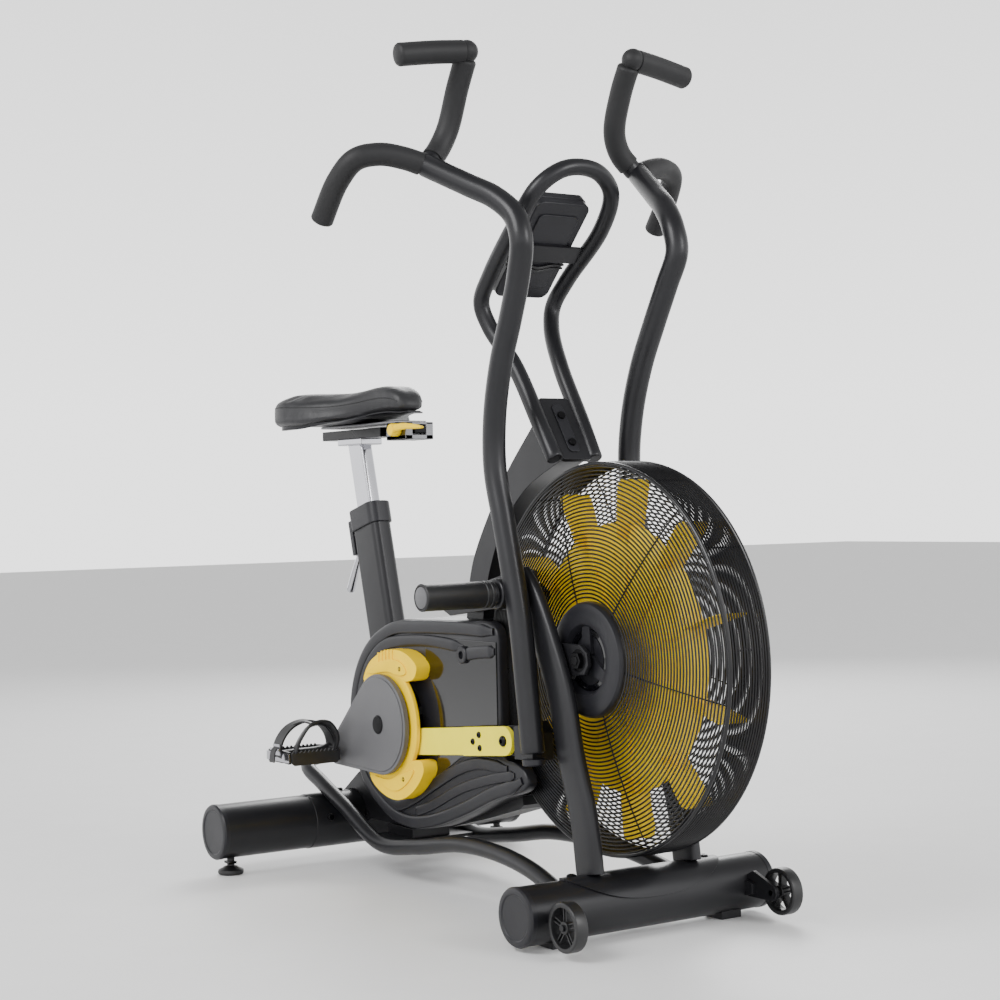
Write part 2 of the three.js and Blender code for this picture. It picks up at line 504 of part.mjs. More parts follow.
// ---- link rods: the eye rides on the crank's eccentric pin ----
function linkRod(sign) {
  const a = rad(sign < 0 ? -ARM.restDeg : ARM.restDeg);
  const px = ARM.x + rodEnd.x * Math.cos(a) + rodEnd.z * Math.sin(a);
  const pz = ARM.z - rodEnd.x * Math.sin(a) + rodEnd.z * Math.cos(a);
  const [ex, ez] = polar(CRANK, CRANK.eccentric, CRANK.eccentricDeg + (sign < 0 ? 0 : 180));
  const d = V(px - ex, 0, pz - ez).normalize();
  const at = (u, w) => [px + d.x * u - d.z * w, pz + d.z * u + d.x * w]; // u along the rod from its front pivot
  const bar = plate([at(-30, 24), at(-30, -24), [ex + d.z * 24, ez - d.x * 24],
    [ex - d.z * 24, ez + d.x * 24]], -LAYER.rod[1], -LAYER.rod[0]);
  const nose = Array.from({ length: 13 }, (_, i) => {
    const t = rad(-90 + i * 15);
    return at(24 * Math.cos(t), 24.6 * Math.sin(t));
  });
  const end = plate([...nose, at(-125, 24.6), at(-125, -24.6)], -LAYER.endPlate[1], -LAYER.rod[0]);
  const rod = cut(join(bar, end, cylY(ex, ez, 30, -LAYER.rod[1], -LAYER.rod[0], 24)),
    cylY(ex, ez, 14.4, -110, -60, 20));
  const bolts = [[0, 0, 8], [-75, 10, 5], [-75, -10, 5], [-92, 0, 5]].map(([u, w, r]) => {
    const [x, z] = at(u, w);
    return cylY(x, z, r, -LAYER.endPlate[1] - 3, -LAYER.endPlate[1] + 1, 8);
  });
  const pivotPin = cylY(px, pz, 6, -LAYER.endPlate[1], -LAYER.lug[0] + 2, 16);
  const pin = cylY(ex, ez, 14, -LAYER.crankArm[0] + 0.5, -W1 - 0.5, 20);
  return sign < 0 ? [join(rod, ...bolts, pivotPin), pin] : [join(rod, ...bolts, pivotPin), pin].map(mirrored);
}
for (const [side, sign] of [["right", -1], ["left", 1]]) {
  const [rod, pin] = linkRod(sign);
  add("link_rod_" + side, rod, YELLOW());
  add("eccentric_pin_" + side, pin, STEEL());
}

// ---- console mast: one looped tube with a mounting plate ----
const mastSide = [[163, 40, 748], [128, 43, 805], [64, 47, 905], [16, 64, 974], [8, 74, 1014],
  [44, 79, 1056], [134, 86, 1130], [180, 74, 1183], [196, 40, 1211]];
const mastPath = [...mastSide.map(([x, y, z]) => [x, -y, z]), [199, 0, 1219], ...[...mastSide].reverse()];
add("console_mast", join(sweep(mastPath, 14, { steps: 30, sides: 4 }),
  box(-4, 4, -31, 31, -62, 62).transform([0.837, 0, 0.547, 0, 0, 1, 0, 0, -0.547, 0, 0.837, 0,
    136, 0, 795, 1]),
  box(-3, 3, -80, 80, -16, 16).transform([0.707, 0, -0.707, 0, 0, 1, 0, 0, 0.707, 0, 0.707, 0,
    88, 0, 1092, 1])), FRAME());

// The console is built flat, screen up, and tilted to face the rider.
const tilt = new THREE.Matrix4().makeTranslation(88, 0, 1092)
  .multiply(new THREE.Matrix4().makeRotationY(-rad(45)));
const tilted = (m) => moved(m, tilt);
add("console_case", tilted(cut(
  join(prism(200, 110, 14, 4, 34), prism(170, 96, 10, 34, 38)),
  box(-16, 76, -40, 40, 35, 40), cylZ(-48, -26, 9.4, 28, 50, 16), cylZ(-48, 26, 9.4, 28, 50, 16))),
PLASTIC());
add("console_screen", tilted(box(-15.6, 75.6, -39.6, 39.6, 35.3, 37.4)), GLOSS());
addPair("console_button", tilted(cylZ(-48, -26, 9, 31.8, 40.5, 16)), PLASTIC);

// The origin sits at the middle of the bounding box, on the floor.
const extent = new THREE.Box3().setFromObject(root);
root.position.x = -(extent.min.x + extent.max.x) / 2;

export default root;
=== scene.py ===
"""Looks for the air bike: smooth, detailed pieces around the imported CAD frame.
Lengths in the helpers are millimetres in the drawing's own axes (fan axle at X 279) and are turned
into metres in the row frame when an object is made."""

import math

import bpy
import numpy as np
from mathutils import Matrix, Vector
from mathutils.bvhtree import BVHTree


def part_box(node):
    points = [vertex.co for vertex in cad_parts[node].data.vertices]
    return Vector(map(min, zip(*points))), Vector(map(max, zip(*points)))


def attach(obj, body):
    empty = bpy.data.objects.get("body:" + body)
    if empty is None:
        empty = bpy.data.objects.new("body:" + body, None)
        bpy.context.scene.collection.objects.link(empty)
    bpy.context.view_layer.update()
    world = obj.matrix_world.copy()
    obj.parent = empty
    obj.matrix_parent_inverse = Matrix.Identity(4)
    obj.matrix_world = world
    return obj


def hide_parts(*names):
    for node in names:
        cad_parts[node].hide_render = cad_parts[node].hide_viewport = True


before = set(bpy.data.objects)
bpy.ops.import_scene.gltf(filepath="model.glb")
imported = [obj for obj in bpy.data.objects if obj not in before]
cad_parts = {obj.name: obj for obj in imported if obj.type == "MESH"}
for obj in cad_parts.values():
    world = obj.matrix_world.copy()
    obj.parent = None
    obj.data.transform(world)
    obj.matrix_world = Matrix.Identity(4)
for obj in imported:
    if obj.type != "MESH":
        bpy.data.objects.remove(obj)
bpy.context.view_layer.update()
FAN = (279.0, 427.0)
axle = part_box("fan_axle")
SHIFT = (axle[0][0] + axle[1][0]) * 500 - FAN[0]
CRANK, PIVOT = (-283.0, 284.0), (142.0, 530.0)
# How far each arm is swung in the photo, the length of a crank and the reach of the rod's big end.
REST_DEG, THROW, ECCENTRIC = 2.5, 175.0, 34.0
SIDES = {"right": -1, "left": 1}
PEDAL_DEG, ECCENTRIC_DEG = {"right": 201, "left": 21}, {"right": 288, "left": 108}
FRONT, REAR, WHEEL = (317.0, 52.0), (-540.0, 80.5), (413.0, 50.0)

# ---------------------------------------------------------------- camera
# Azimuth, pitch and roll were fitted to the photo, and so were the lens and the place below.
psi, phi, roll = (math.radians(a) for a in (56.3, -0.2, -1.2))
look = Vector((-math.sin(psi) * math.cos(phi), math.cos(psi) * math.cos(phi), -math.sin(phi)))
right = Vector((math.cos(psi), math.sin(psi), 0))
above = right.cross(look)
cam_x = right * math.cos(roll) + above * math.sin(roll)
cam_y = above * math.cos(roll) - right * math.sin(roll)
cam_data = bpy.data.cameras.new("camera")
cam_data.lens, cam_data.sensor_width, cam_data.clip_end = 69.66, 36, 60
camera = bpy.data.objects.new("camera", cam_data)
bpy.context.scene.collection.objects.link(camera)
camera.matrix_world = Matrix.Translation(((2732 + SHIFT) / 1000, -1.8613, 0.6701)) @ Matrix(
    (cam_x, cam_y, -look)).transposed().to_4x4()
bpy.context.scene.camera = camera


# ---------------------------------------------------------------- materials
def material(name, colour, rough, metal=0.0, coat=0.0, spread=0.2, patch=9.0, grain=900.0, bump=0.06,
             pattern="noise", stretch=(1, 1, 1), rough_spread=0.08, sheen=0.0, depth=0.0004, specular=0.5):
    """A finish whose colour and roughness vary in patches, with a fine grain of noise or cells."""
    m = bpy.data.materials.new(name)
    m.use_nodes = True
    nodes, links = m.node_tree.nodes, m.node_tree.links
    shader = nodes["Principled BSDF"]
    shader.inputs["Metallic"].default_value = metal
    shader.inputs["Coat Weight"].default_value = coat
    shader.inputs["Coat Roughness"].default_value = 0.12
    shader.inputs["Sheen Weight"].default_value = sheen
    shader.inputs["Specular IOR Level"].default_value = specular
    where = nodes.new("ShaderNodeTexCoord")
    mapping = nodes.new("ShaderNodeMapping")
    mapping.inputs["Scale"].default_value = stretch
    links.new(where.outputs["Object"], mapping.inputs["Vector"])

    def noise(scale, detail):
        n = nodes.new("ShaderNodeTexNoise")
        n.inputs["Scale"].default_value = scale
        n.inputs["Detail"].default_value = detail
        links.new(mapping.outputs["Vector"], n.inputs["Vector"])
        return n.outputs["Fac"]

    ramp = nodes.new("ShaderNodeValToRGB")
    ramp.color_ramp.elements[0].position, ramp.color_ramp.elements[1].position = 0.3, 0.7
    for element, gain in zip(ramp.color_ramp.elements, (1 - spread, 1 + spread)):
        element.color = (*(min(1, c * gain) for c in colour), 1)
    links.new(noise(patch, 4), ramp.inputs["Fac"])
    links.new(ramp.outputs["Color"], shader.inputs["Base Color"])
    spans = nodes.new("ShaderNodeMapRange")
    spans.inputs["To Min"].default_value = max(0.02, rough - rough_spread)
    spans.inputs["To Max"].default_value = min(1, rough + rough_spread)
    links.new(noise(patch * 3.1, 5), spans.inputs["Value"])
    links.new(spans.outputs["Result"], shader.inputs["Roughness"])
    if pattern == "cells":
        cells = nodes.new("ShaderNodeTexVoronoi")
        cells.inputs["Scale"].default_value = grain
        links.new(mapping.outputs["Vector"], cells.inputs["Vector"])
        height = cells.outputs["Distance"]
    else:
        height = noise(grain, 3)
    raised = nodes.new("ShaderNodeBump")
    raised.inputs["Strength"].default_value = bump
    raised.inputs["Distance"].default_value = depth
    links.new(height, raised.inputs["Height"])
    links.new(raised.outputs["Normal"], shader.inputs["Normal"])
    return m


FINISHES = {
    "frame_paint": dict(colour=(0.012, 0.012, 0.014), rough=0.36, metal=0.2, coat=0.05, spread=0.12,
                        bump=0.05, specular=0.35),
    "cage_paint": dict(colour=(0.004, 0.004, 0.005), rough=0.3, metal=0.2, spread=0.15),
    "fan_yellow": dict(colour=(1.0, 0.66, 0.0), rough=0.5, spread=0.06, patch=14, specular=0.2),
    "rod_paint": dict(colour=(0.92, 0.8, 0.03), rough=0.5, spread=0.04, patch=20, specular=0.12),
    "yellow_plastic": dict(colour=(0.98, 0.64, 0.0), rough=0.5, spread=0.05, patch=20, specular=0.12),
    "dark_plastic": dict(colour=(0.011, 0.011, 0.014), rough=0.38, spread=0.1, bump=0.16, grain=1500,
                         specular=0.35),
    "gloss_black": dict(colour=(0.003, 0.003, 0.004), rough=0.07, coat=0.5, rough_spread=0.02, bump=0.01),
    "black_rubber": dict(colour=(0.006, 0.006, 0.007), rough=0.5, pattern="cells", grain=700, bump=0.2),
    "grip_foam": dict(colour=(0.012, 0.012, 0.013), rough=0.55, grain=1100, bump=0.3, sheen=0.03,
                      specular=0.3),
    "steel": dict(colour=(0.2, 0.2, 0.21), rough=0.3, metal=1.0, stretch=(40, 1, 1), grain=60, bump=0.15),
    "chrome": dict(colour=(0.5, 0.5, 0.53), rough=0.12, metal=1.0, spread=0.05, rough_spread=0.04,
                   bump=0.01),
    "grey_cover": dict(colour=(0.095, 0.095, 0.1), rough=0.46, spread=0.06, bump=0.15, grain=1500),
    "pedal_plastic": dict(colour=(0.012, 0.012, 0.013), rough=0.34, grain=1300, bump=0.2),
    "wheel_plastic": dict(colour=(0.01, 0.01, 0.011), rough=0.4, bump=0.15),
    "saddle_cover": dict(colour=(0.01, 0.01, 0.012), rough=0.46, pattern="cells", grain=520, bump=0.3,
                         sheen=0.08, depth=0.0005),
    "bolt_black": dict(colour=(0.005, 0.005, 0.006), rough=0.3, metal=0.7, bump=0.05),
}
M = {name: material(name, **finish) for name, finish in FINISHES.items()}


# ---------------------------------------------------------------- mesh helpers
def smooth(points, n, closed=False):
    """n + 1 evenly spaced points on the centripetal Catmull-Rom curve through the points."""
    p = np.array(points, float)
    ends = (p[-1], p[0], p[1]) if closed else (2 * p[0] - p[1], None, 2 * p[-1] - p[-2])
    q = np.vstack([ends[0], p] + ([ends[1], ends[2]] if closed else [ends[2]]))
    dense = []
    for a, b, c, d in zip(q, q[1:], q[2:], q[3:]):
        t = np.cumsum([0] + [max(1e-6, np.linalg.norm(v - u)) ** 0.5 for u, v in ((a, b), (b, c), (c, d))])
        for s in np.linspace(t[1], t[2], 24, endpoint=False):
            def mix(u, v, i, j):
                return ((t[j] - s) * u + (s - t[i]) * v) / (t[j] - t[i])
            e, f, g = mix(a, b, 0, 1), mix(b, c, 1, 2), mix(c, d, 2, 3)
            dense.append(mix(mix(e, f, 0, 2), mix(f, g, 1, 3), 1, 2))
    dense = np.array(dense + [q[-2]])
    length = np.concatenate([[0], np.cumsum(np.linalg.norm(np.diff(dense, axis=0), axis=1))])
    at = np.linspace(0, length[-1], n + 1)
    return np.stack([np.interp(at, length, dense[:, i]) for i in range(dense.shape[1])], 1)


def combine(*geos):
    verts, faces, base = [], [], 0
    for v, f in geos:
        verts.append(np.asarray(v, float))
        faces += [tuple(i + base for i in face) for face in f]
        base += len(v)
    return np.vstack(verts), faces


def mirror(geo):
    return np.asarray(geo[0]) * (1, -1, 1), [tuple(reversed(f)) for f in geo[1]]


def side_of(geo, side):
    return geo if side == "right" else mirror(geo)


def turned(geo, centre, degrees):
    a = math.radians(degrees)
    v = np.array(geo[0], float)
    x, z = v[:, 0] - centre[0], v[:, 2] - centre[1]
    v[:, 0] = centre[0] + x * math.cos(a) + z * math.sin(a)
    v[:, 2] = centre[1] - x * math.sin(a) + z * math.cos(a)
    return v, geo[1]


def skin(rings, closed_rings=False):
    """Quads between equal rings of points, with flat ends unless the rings join up."""
    n, k = len(rings[0]), len(rings)
    faces = []
    for i in range(k if closed_rings else k - 1):
        j = (i + 1) % k
        faces += [(i * n + a, i * n + (a + 1) % n, j * n + (a + 1) % n, j * n + a) for a in range(n)]
    if not closed_rings:
        faces += [tuple(reversed(range(n))), tuple(range((k - 1) * n, k * n))]
    v = np.vstack(rings)
    return outward((v, faces))


def outward(geo):
    v, faces = geo
    volume = 0.0
    for f in faces:
        for b, c in zip(f[1:], f[2:]):
            volume += np.dot(v[f[0]], np.cross(v[b], v[c]))
    return (v, [tuple(reversed(f)) for f in faces]) if volume < 0 else (v, faces)


def sweep(path, section, side=None):
    """A section of (u, v) points carried along the path; u runs along side when it is given."""
    path = np.asarray(path, float)
    tangent = np.gradient(path, axis=0)
    tangent /= np.linalg.norm(tangent, axis=1)[:, None]
    section = np.asarray(section, float)
    u = np.cross(tangent[0], (0.3, 1, 0.2) if abs(tangent[0][1]) < 0.9 else (1, 0, 0.1))
    rings = []
    for i, (p, t) in enumerate(zip(path, tangent)):
        u = np.array(side, float) if side is not None else u - t * np.dot(u, t)
        u /= np.linalg.norm(u)
        w = np.cross(t, u)
        w /= np.linalg.norm(w)
        s = section if section.ndim == 2 else section[i]
        rings.append(p + s[:, :1] * u + s[:, 1:] * w)
    return skin(rings)


def circle(r, n=28):
    a = np.linspace(0, 2 * math.pi, n, endpoint=False)
    return np.stack([r * np.cos(a), r * np.sin(a)], 1)


def outwards(path):
    """The unit vectors that point out of the first and the last point of a path."""
    return [v / np.linalg.norm(v) for v in (path[0] - path[1], path[-1] - path[-2])]


def tube(path, r, n=28, ends=0.25):
    """A round tube with softly rounded ends."""
    path = np.asarray(path, float)
    first, last = outwards(path)
    body = list(path)
    radii = [r] * len(body)
    for shrink, out in ((0.88, 0.55), (0.65, 0.88), (0.55, 1)):
        body = [path[0] + first * r * ends * out] + body + [path[-1] + last * r * ends * out]
        grow = 1 - (1 - shrink) * ends * 1.4
        radii = [r * grow] + radii + [r * grow]
    return sweep(body, np.array([circle(q, n) for q in radii]))


def lathe(profile, centre, seg=72, axis="y"):
    """Turns (radius, distance) points about an axis through (x, z), or (x, y) when axis is z."""
    a = np.linspace(0, 2 * math.pi, seg, endpoint=False)
    rings = []
    for r, d in profile:
        r = max(r, 0.01)
        one, two = centre[0] + r * np.cos(a), centre[1] + r * np.sin(a)
        far = np.full(seg, float(d))
        rings.append(np.stack([one, far, two] if axis == "y" else [one, two, far], 1))
    return skin(rings)


def ring(profile, centre, seg=96):
    a = np.linspace(0, 2 * math.pi, seg, endpoint=False)
    return skin([np.stack([centre[0] + r * np.cos(a), np.full(seg, float(d)), centre[1] + r * np.sin(a)], 1)
                 for r, d in profile], closed_rings=True)


def wire_ring(centre, r, y, wire, seg=120, sides=6):
    b = np.linspace(0, 2 * math.pi, sides, endpoint=False)
    return ring([(r + wire * math.cos(t), y + wire * math.sin(t)) for t in b], centre, seg)


def plate(outline, y0, y1):
    o = np.asarray(outline, float)
    return skin([np.stack([o[:, 0], np.full(len(o), float(y)), o[:, 1]], 1) for y in (y0, y1)])


def block(x0, x1, y0, y1, z0, z1):
    return plate([(x0, z0), (x1, z0), (x1, z1), (x0, z1)], y0, y1)


def hull(points):
    p = sorted(map(tuple, points))

    def half(seq):
        h = []
        for q in seq:
            while len(h) > 1 and ((h[-1][0] - h[-2][0]) * (q[1] - h[-2][1])
                                  - (h[-1][1] - h[-2][1]) * (q[0] - h[-2][0])) <= 1e-6:
                h.pop()
            h.append(q)
        return h
    return half(p)[:-1] + half(p[::-1])[:-1]


def disc_points(c, r, n=72):
    return [(c[0] + r * math.cos(t), c[1] + r * math.sin(t))
            for t in np.linspace(0, 2 * math.pi, n, endpoint=False)]


def polar(c, r, deg):
    return c[0] + r * math.cos(math.radians(deg)), c[1] + r * math.sin(math.radians(deg))


def spoke(centre, a, shape, y0, y1):
    """A plate that points away from the centre at the angle a; shape is (out, across) points."""
    return plate([(centre[0] + c * math.cos(a) - w * math.sin(a),
                   centre[1] + c * math.sin(a) + w * math.cos(a)) for c, w in shape], y0, y1)


def ball(x, y, z, r, n):
    profile = [(r * math.sin(t), z - r * math.cos(t)) for t in np.linspace(0, math.pi, n)]
    return lathe(profile, (x, y), 40, "z")


def box_loop(a, b, p, q, n):
    """A closed outline between an ellipse and a box, squarer for smaller powers p and q."""
    return np.array([(a * math.copysign(abs(math.cos(t)) ** p, math.cos(t)),
                      b * math.copysign(abs(math.sin(t)) ** q, math.sin(t)))
                     for t in np.linspace(0, 2 * math.pi, n, endpoint=False)])


def framed(geo, origin, deg):
    """Turns a piece made flat (its X up the slope, Z out of it) and puts it at (x, 0, z)."""
    a = math.radians(deg)
    v = np.array(geo[0], float)
    x, z = v[:, 0].copy(), v[:, 2].copy()
    v[:, 0] = origin[0] + x * math.cos(a) - z * math.sin(a)
    v[:, 2] = origin[1] + x * math.sin(a) + z * math.cos(a)
    return v, geo[1]


def bolt(x, z, y, r=6.0):
    """A domed socket-head bolt standing on the plane y, pointing to -Y."""
    return lathe([(0, y + 0.5), (r, y + 0.5), (r, y - r * 0.3), (r * 0.8, y - r * 0.52),
                  (r * 0.45, y - r * 0.6), (r * 0.45, y - r * 0.2), (0, y - r * 0.2)], (x, z), 24)


def rounded_box(a, b, corner, n=8):
    pts = []
    for sx, sy, start in ((1, 1, 0), (-1, 1, 90), (-1, -1, 180), (1, -1, 270)):
        for t in np.linspace(start, start + 90, n):
            pts.append((sx * (a / 2 - corner) + corner * math.cos(math.radians(t)),
                        sy * (b / 2 - corner) + corner * math.sin(math.radians(t))))
    return pts


def make(name, geo, mat, body, replaces=(), bevel=0.0, angle=32):
    v = (np.asarray(geo[0], float) + (SHIFT, 0, 0)) / 1000
    mesh = bpy.data.meshes.new(name)
    mesh.from_pydata(v.tolist(), [], geo[1])
    mesh.validate()
    mesh.polygons.foreach_set("use_smooth", [True] * len(mesh.polygons))
    mesh.set_sharp_from_angle(angle=math.radians(angle))
    mesh.materials.append(M[mat])
    obj = bpy.data.objects.new(name, mesh)
    bpy.context.scene.collection.objects.link(obj)
    if bevel:
        m = obj.modifiers.new("edges", "BEVEL")
        m.width, m.segments, m.limit_method = bevel / 1000, 3, "ANGLE"
        m.angle_limit, m.harden_normals = math.radians(30), True
    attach(obj, body)
    if replaces:
        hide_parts(*([replaces] if isinstance(replaces, str) else replaces))
    return obj


def both(name, geo, mat, body, replaces=None, **more):
    """The right-hand piece and its mirror; {} in body or replaces stands for the side."""
    for side in ("right", "left"):
        make(f"{name}_{side}", side_of(geo, side), mat, body.format(side),
             replaces.format(side) if replaces else (), **more)


# ---------------------------------------------------------------- fan
BLADES, FIRST_DEG = 11, 16


def paddle(i):
    """A flat paddle that stands across the disc's edge, a little wider at its rounded tip."""
    a = math.radians(FIRST_DEG + i * 360 / BLADES)
    half = [(190, 26), (215, 28), (262, 31), (276, 31), (282, 29), (285, 24)]
    outline = [(r, -w) for r, w in half] + [(r, w) for r, w in half[::-1]]
    faces = []
    for h in (-1.1, 1.1):
        faces.append(np.array([(FAN[0] + r * math.cos(a) - h * math.sin(a), w,
                                FAN[1] + r * math.sin(a) + h * math.cos(a)) for r, w in outline]))
    return skin(faces)


fan_disc = lathe([(0, -24), (22, -24), (25, -21), (26, -5), (60, -3.5), (66, -1.5), (150, -1.5), (156, -4),
                  (196, -4), (202, -1.5), (214, -1.5), (215, 0), (214, 1.5), (202, 1.5), (196, -1),
                  (156, -1), (150, 1.5), (26, 2), (25, 41), (22, 41), (22, 52), (0, 52)], FAN, 96)
ribs = [spoke(FAN, a, ((60, -5), (190, -3), (190, 3), (60, 5)), -5, 4)
        for a in (math.radians(FIRST_DEG + 360 / BLADES * i) for i in range(BLADES))]
make("fan_blades", combine(fan_disc, *ribs, *[paddle(i) for i in range(BLADES)]), "fan_yellow", "fan",
     "fan_wheel", bevel=0.5)


# ---------------------------------------------------------------- cage
def dish(r):
    """How far the cage stands out from the mid-plane at a radius."""
    return 37 + 27 * (1 - ((r - 94) / 216) ** 2)


wires = [wire_ring(FAN, r, -dish(r), 1.55) for r in np.linspace(98, 303.5, 34)]
for k in range(6):
    a = math.radians(50 + 60 * k)
    wires.append(tube([(FAN[0] + r * math.cos(a), -dish(r) + 2.6, FAN[1] + r * math.sin(a))
                       for r in np.linspace(88, 305, 18)], 1.3, 8))
both("cage_wires", combine(*wires), "cage_paint", "frame", "cage_grille_{}")
rim = [wire_ring(FAN, 309 + 1.2 * math.cos(y / 24), y, 1.7) for y in np.linspace(-36, 36, 15)]
rim += [tube([(FAN[0] + 307 * math.cos(a), y, FAN[1] + 307 * math.sin(a)) for y in (-38, 0, 38)], 1.5, 8)
        for a in np.radians(np.arange(5, 365, 30))]
rim += [wire_ring(FAN, 308.5, y, 3.1, seg=144, sides=10) for y in (-37, 37)]
make("cage_rim_wires", combine(*rim), "cage_paint", "frame", "cage_rim")

hub = lathe([(0, -60), (0, -66), (12, -66), (13, -62), (48, -62), (51, -67), (56, -73), (60, -74), (82, -74),
             (88, -71), (91, -66), (92, -60), (92, -56), (0, -56)], FAN, 96)
hub_arms = [spoke(FAN, math.radians(90 + 120 * k), ((10, -13), (58, -9), (58, 9), (10, 13)), -69, -60)
            for k in range(3)]
both("hub_plate", combine(hub, *hub_arms), "dark_plastic", "frame", "hub_plate_{}", bevel=1.2)
both("hub_ring", ring([(40, -61), (40, -65.5), (44, -67), (49, -65.5), (49, -61)], FAN),
     "gloss_black", "frame")
axle_geo = lathe([(0, -94), (7, -94), (8, -93), (8, 93), (7, 94), (0, 94)], FAN, 32)
nuts = [plate([polar(FAN, 14, 60 * k) for k in range(6)], *span) for span in ((-92, -84.5), (84.5, 92))]
washers = [lathe([(0, s * 84), (18, s * 84), (18, s * 85.6), (0, s * 85.6)], FAN, 40) for s in (-1, 1)]
make("fan_axle_bar", combine(axle_geo, *nuts, *washers), "bolt_black", "frame", "fan_axle", bevel=0.8)


# ---------------------------------------------------------------- frame tubes
def arc(r, deg):
    """A point on a circle round the fan, deg behind its top."""
    return polar(FAN, r, deg + 90)


rear_edge = [(84, 808), (2, 730), (-60, 655), (-112, 574), (-132, 500), (-140, 427), (-166, 385), (-216, 348),
             (-262, 330)]
front_edge = [(-252, 296), (-200, 302), (-150, 335), (-110, 375), arc(366, 90), arc(364, 82), arc(363, 70),
              arc(360, 55), arc(352, 40), (160, 744)]
spine = plate([*map(tuple, smooth(rear_edge, 60)), *map(tuple, smooth(front_edge, 60)), (108, 822)], -25, 25)
brace_tube = lathe([(0, -76), (14, -76), (15, -75), (15, 75), (14, 76), (0, 76)], (-104, 502), 40)
make("spine_beam", combine(spine, brace_tube), "frame_paint", "frame", "main_spine", bevel=5)
make("spine_cap", plate([(82, 806), (85, 811), (107, 824), (112, 820), (162, 747), (158, 741)], -22, 22),
     "dark_plastic", "frame", bevel=2)

strut_line = smooth([(315, 96, 99), (300, 96, 190), (273, 96, 268), (245, 96, 376), (209, 96, 453),
                     (172, 96, 516), (138, 96, 552)], 60) * (1, -1, 1)
strut = sweep(strut_line, box_loop(12, 30, 0.75, 0.62, 40), side=(0, 1, 0))
dropout = plate([(170, 452), (282, 452), (300, 440), (303, 420), (292, 405), (215, 398)], -84.6, -76.6)
brace = plate([(160, 566), (118, 568), (-100, 520), (-122, 510), (-122, 494), (-96, 484), (60, 502),
               (172, 520)], -84.6, -76.6)
both("strut_tube", combine(strut, dropout, brace), "frame_paint", "frame", "strut_{}", bevel=1.5)
both("strut_top_cap",
     lathe([(0, -84), (27, -84), (29, -86), (29, -106), (27, -108.2), (0, -108.2)], PIVOT, 48),
     "frame_paint", "frame", bevel=1)


def stabilizer(centre, r, half, name, node, bands):
    body = lathe([(0, -half + 8), (r - 1, -half + 8), (r, -half + 9), (r, half - 9), (r - 1, half - 8),
                  (0, half - 8)], centre, 96)
    make(name, combine(body, *bands), "frame_paint", "frame", node, bevel=0.8)
    for side, s in SIDES.items():
        cap = [(0, half - 12), (r + 0.6, half - 12), (r + 0.9, half - 4), (r - 1, half - 1), (r - 4, half),
               (r - 9, half), (r - 11, half - 1.5), (0, half - 2.2)]
        make(f"{name}_cap_{side}", lathe([(q, s * y) for q, y in cap], centre, 96), "dark_plastic", "frame")


wheel_arms = []
for s in (-1, 1):
    a, b = sorted((s * 184, s * 191))
    wheel_arms.append(plate(hull(disc_points((352, 52), 15, 24) + disc_points(WHEEL, 13, 24)
                                 + disc_points((372, 74), 5, 12)), a, b))
    a, b = sorted((s * 176, s * 200))
    wheel_arms.append(plate([(350, 36), (378, 44), (378, 60), (350, 66)], a, b))
    a, b = sorted((s * 184, s * 223))
    wheel_arms.append(lathe([(0, a), (5, a), (5, b), (0, b)], WHEEL, 24))
pads = [block(FRONT[0] - 22, FRONT[0] + 22, y - 20, y + 20, 0, 14) for y in (-166, 166)]
stabilizer(FRONT, 45, 241, "front_tube", "front_stabilizer", wheel_arms + pads)
stabilizer(REAR, 50, 331, "rear_tube", "rear_stabilizer",
           [lathe([(0, -140), (50.6, -140), (51.2, -139), (51.2, 139), (50.6, 140), (0, 140)], REAR, 96)])


def wrap_plate(centre, r, thick, half, spread, n=48):
    """A plate bent over a tube along Y, deepest in the middle and rounded off towards its ends."""
    rings = []
    for y in half * np.sin(np.linspace(-math.pi / 2, math.pi / 2, n)):
        reach = spread * max(0.02, 1 - (y / half) ** 4) ** 0.5 * (0.62 + 0.38 * (1 - (y / half) ** 2))
        t = np.radians(np.linspace(90 - reach, 90 + reach, 25))
        rings.append(np.array([(centre[0] + q * math.cos(a), y, centre[1] + q * math.sin(a))
                               for q, side in ((r + thick, t), (r, t[::-1])) for a in side]))
    return skin(rings)


make("front_wrap", wrap_plate(FRONT, 45.3, 3.4, 152, 78), "frame_paint", "frame", "saddle_plate", bevel=0.8)
bolts = [lathe([(0, 98), (8, 98), (8, 101.5), (6, 103.5), (3.4, 104), (3.4, 101.6), (0, 101.6)],
               (x, y), 24, "z") for x, y in ((312, -130), (312, 132))]
bolts += [lathe([(0, 131), (7, 131), (7, 134), (5, 136), (0, 136)], (-548, y), 24, "z") for y in (-60, 60)]
a = math.radians(12)
bolts += [tube([(REAR[0] + q * math.cos(a), y, REAR[1] + q * math.sin(a)) for q in (50, 53, 56)], 6.5, 20)
          for y in (-112, -30, 30, 112)]
make("stabilizer_bolts", combine(*bolts), "bolt_black", "frame")
foot = combine(lathe([(0, 0), (21, 0), (23.5, 2), (24, 5), (23, 9), (16, 12), (12, 15), (8, 16), (0, 16)],
                     (REAR[0], -296), 48, "z"),
               lathe([(0, 15), (7, 15), (7, 30), (0, 30)], (REAR[0], -296), 24, "z"),
               plate([(REAR[0] + u, z)
                      for u, z in ((12, 20), (12 * math.cos(1), 20), (12, 24), (-12, 24), (-12, 20))],
                     -304, -288))
both("leveller", foot, "black_rubber", "frame", "leveller_foot_{}", bevel=0.8)

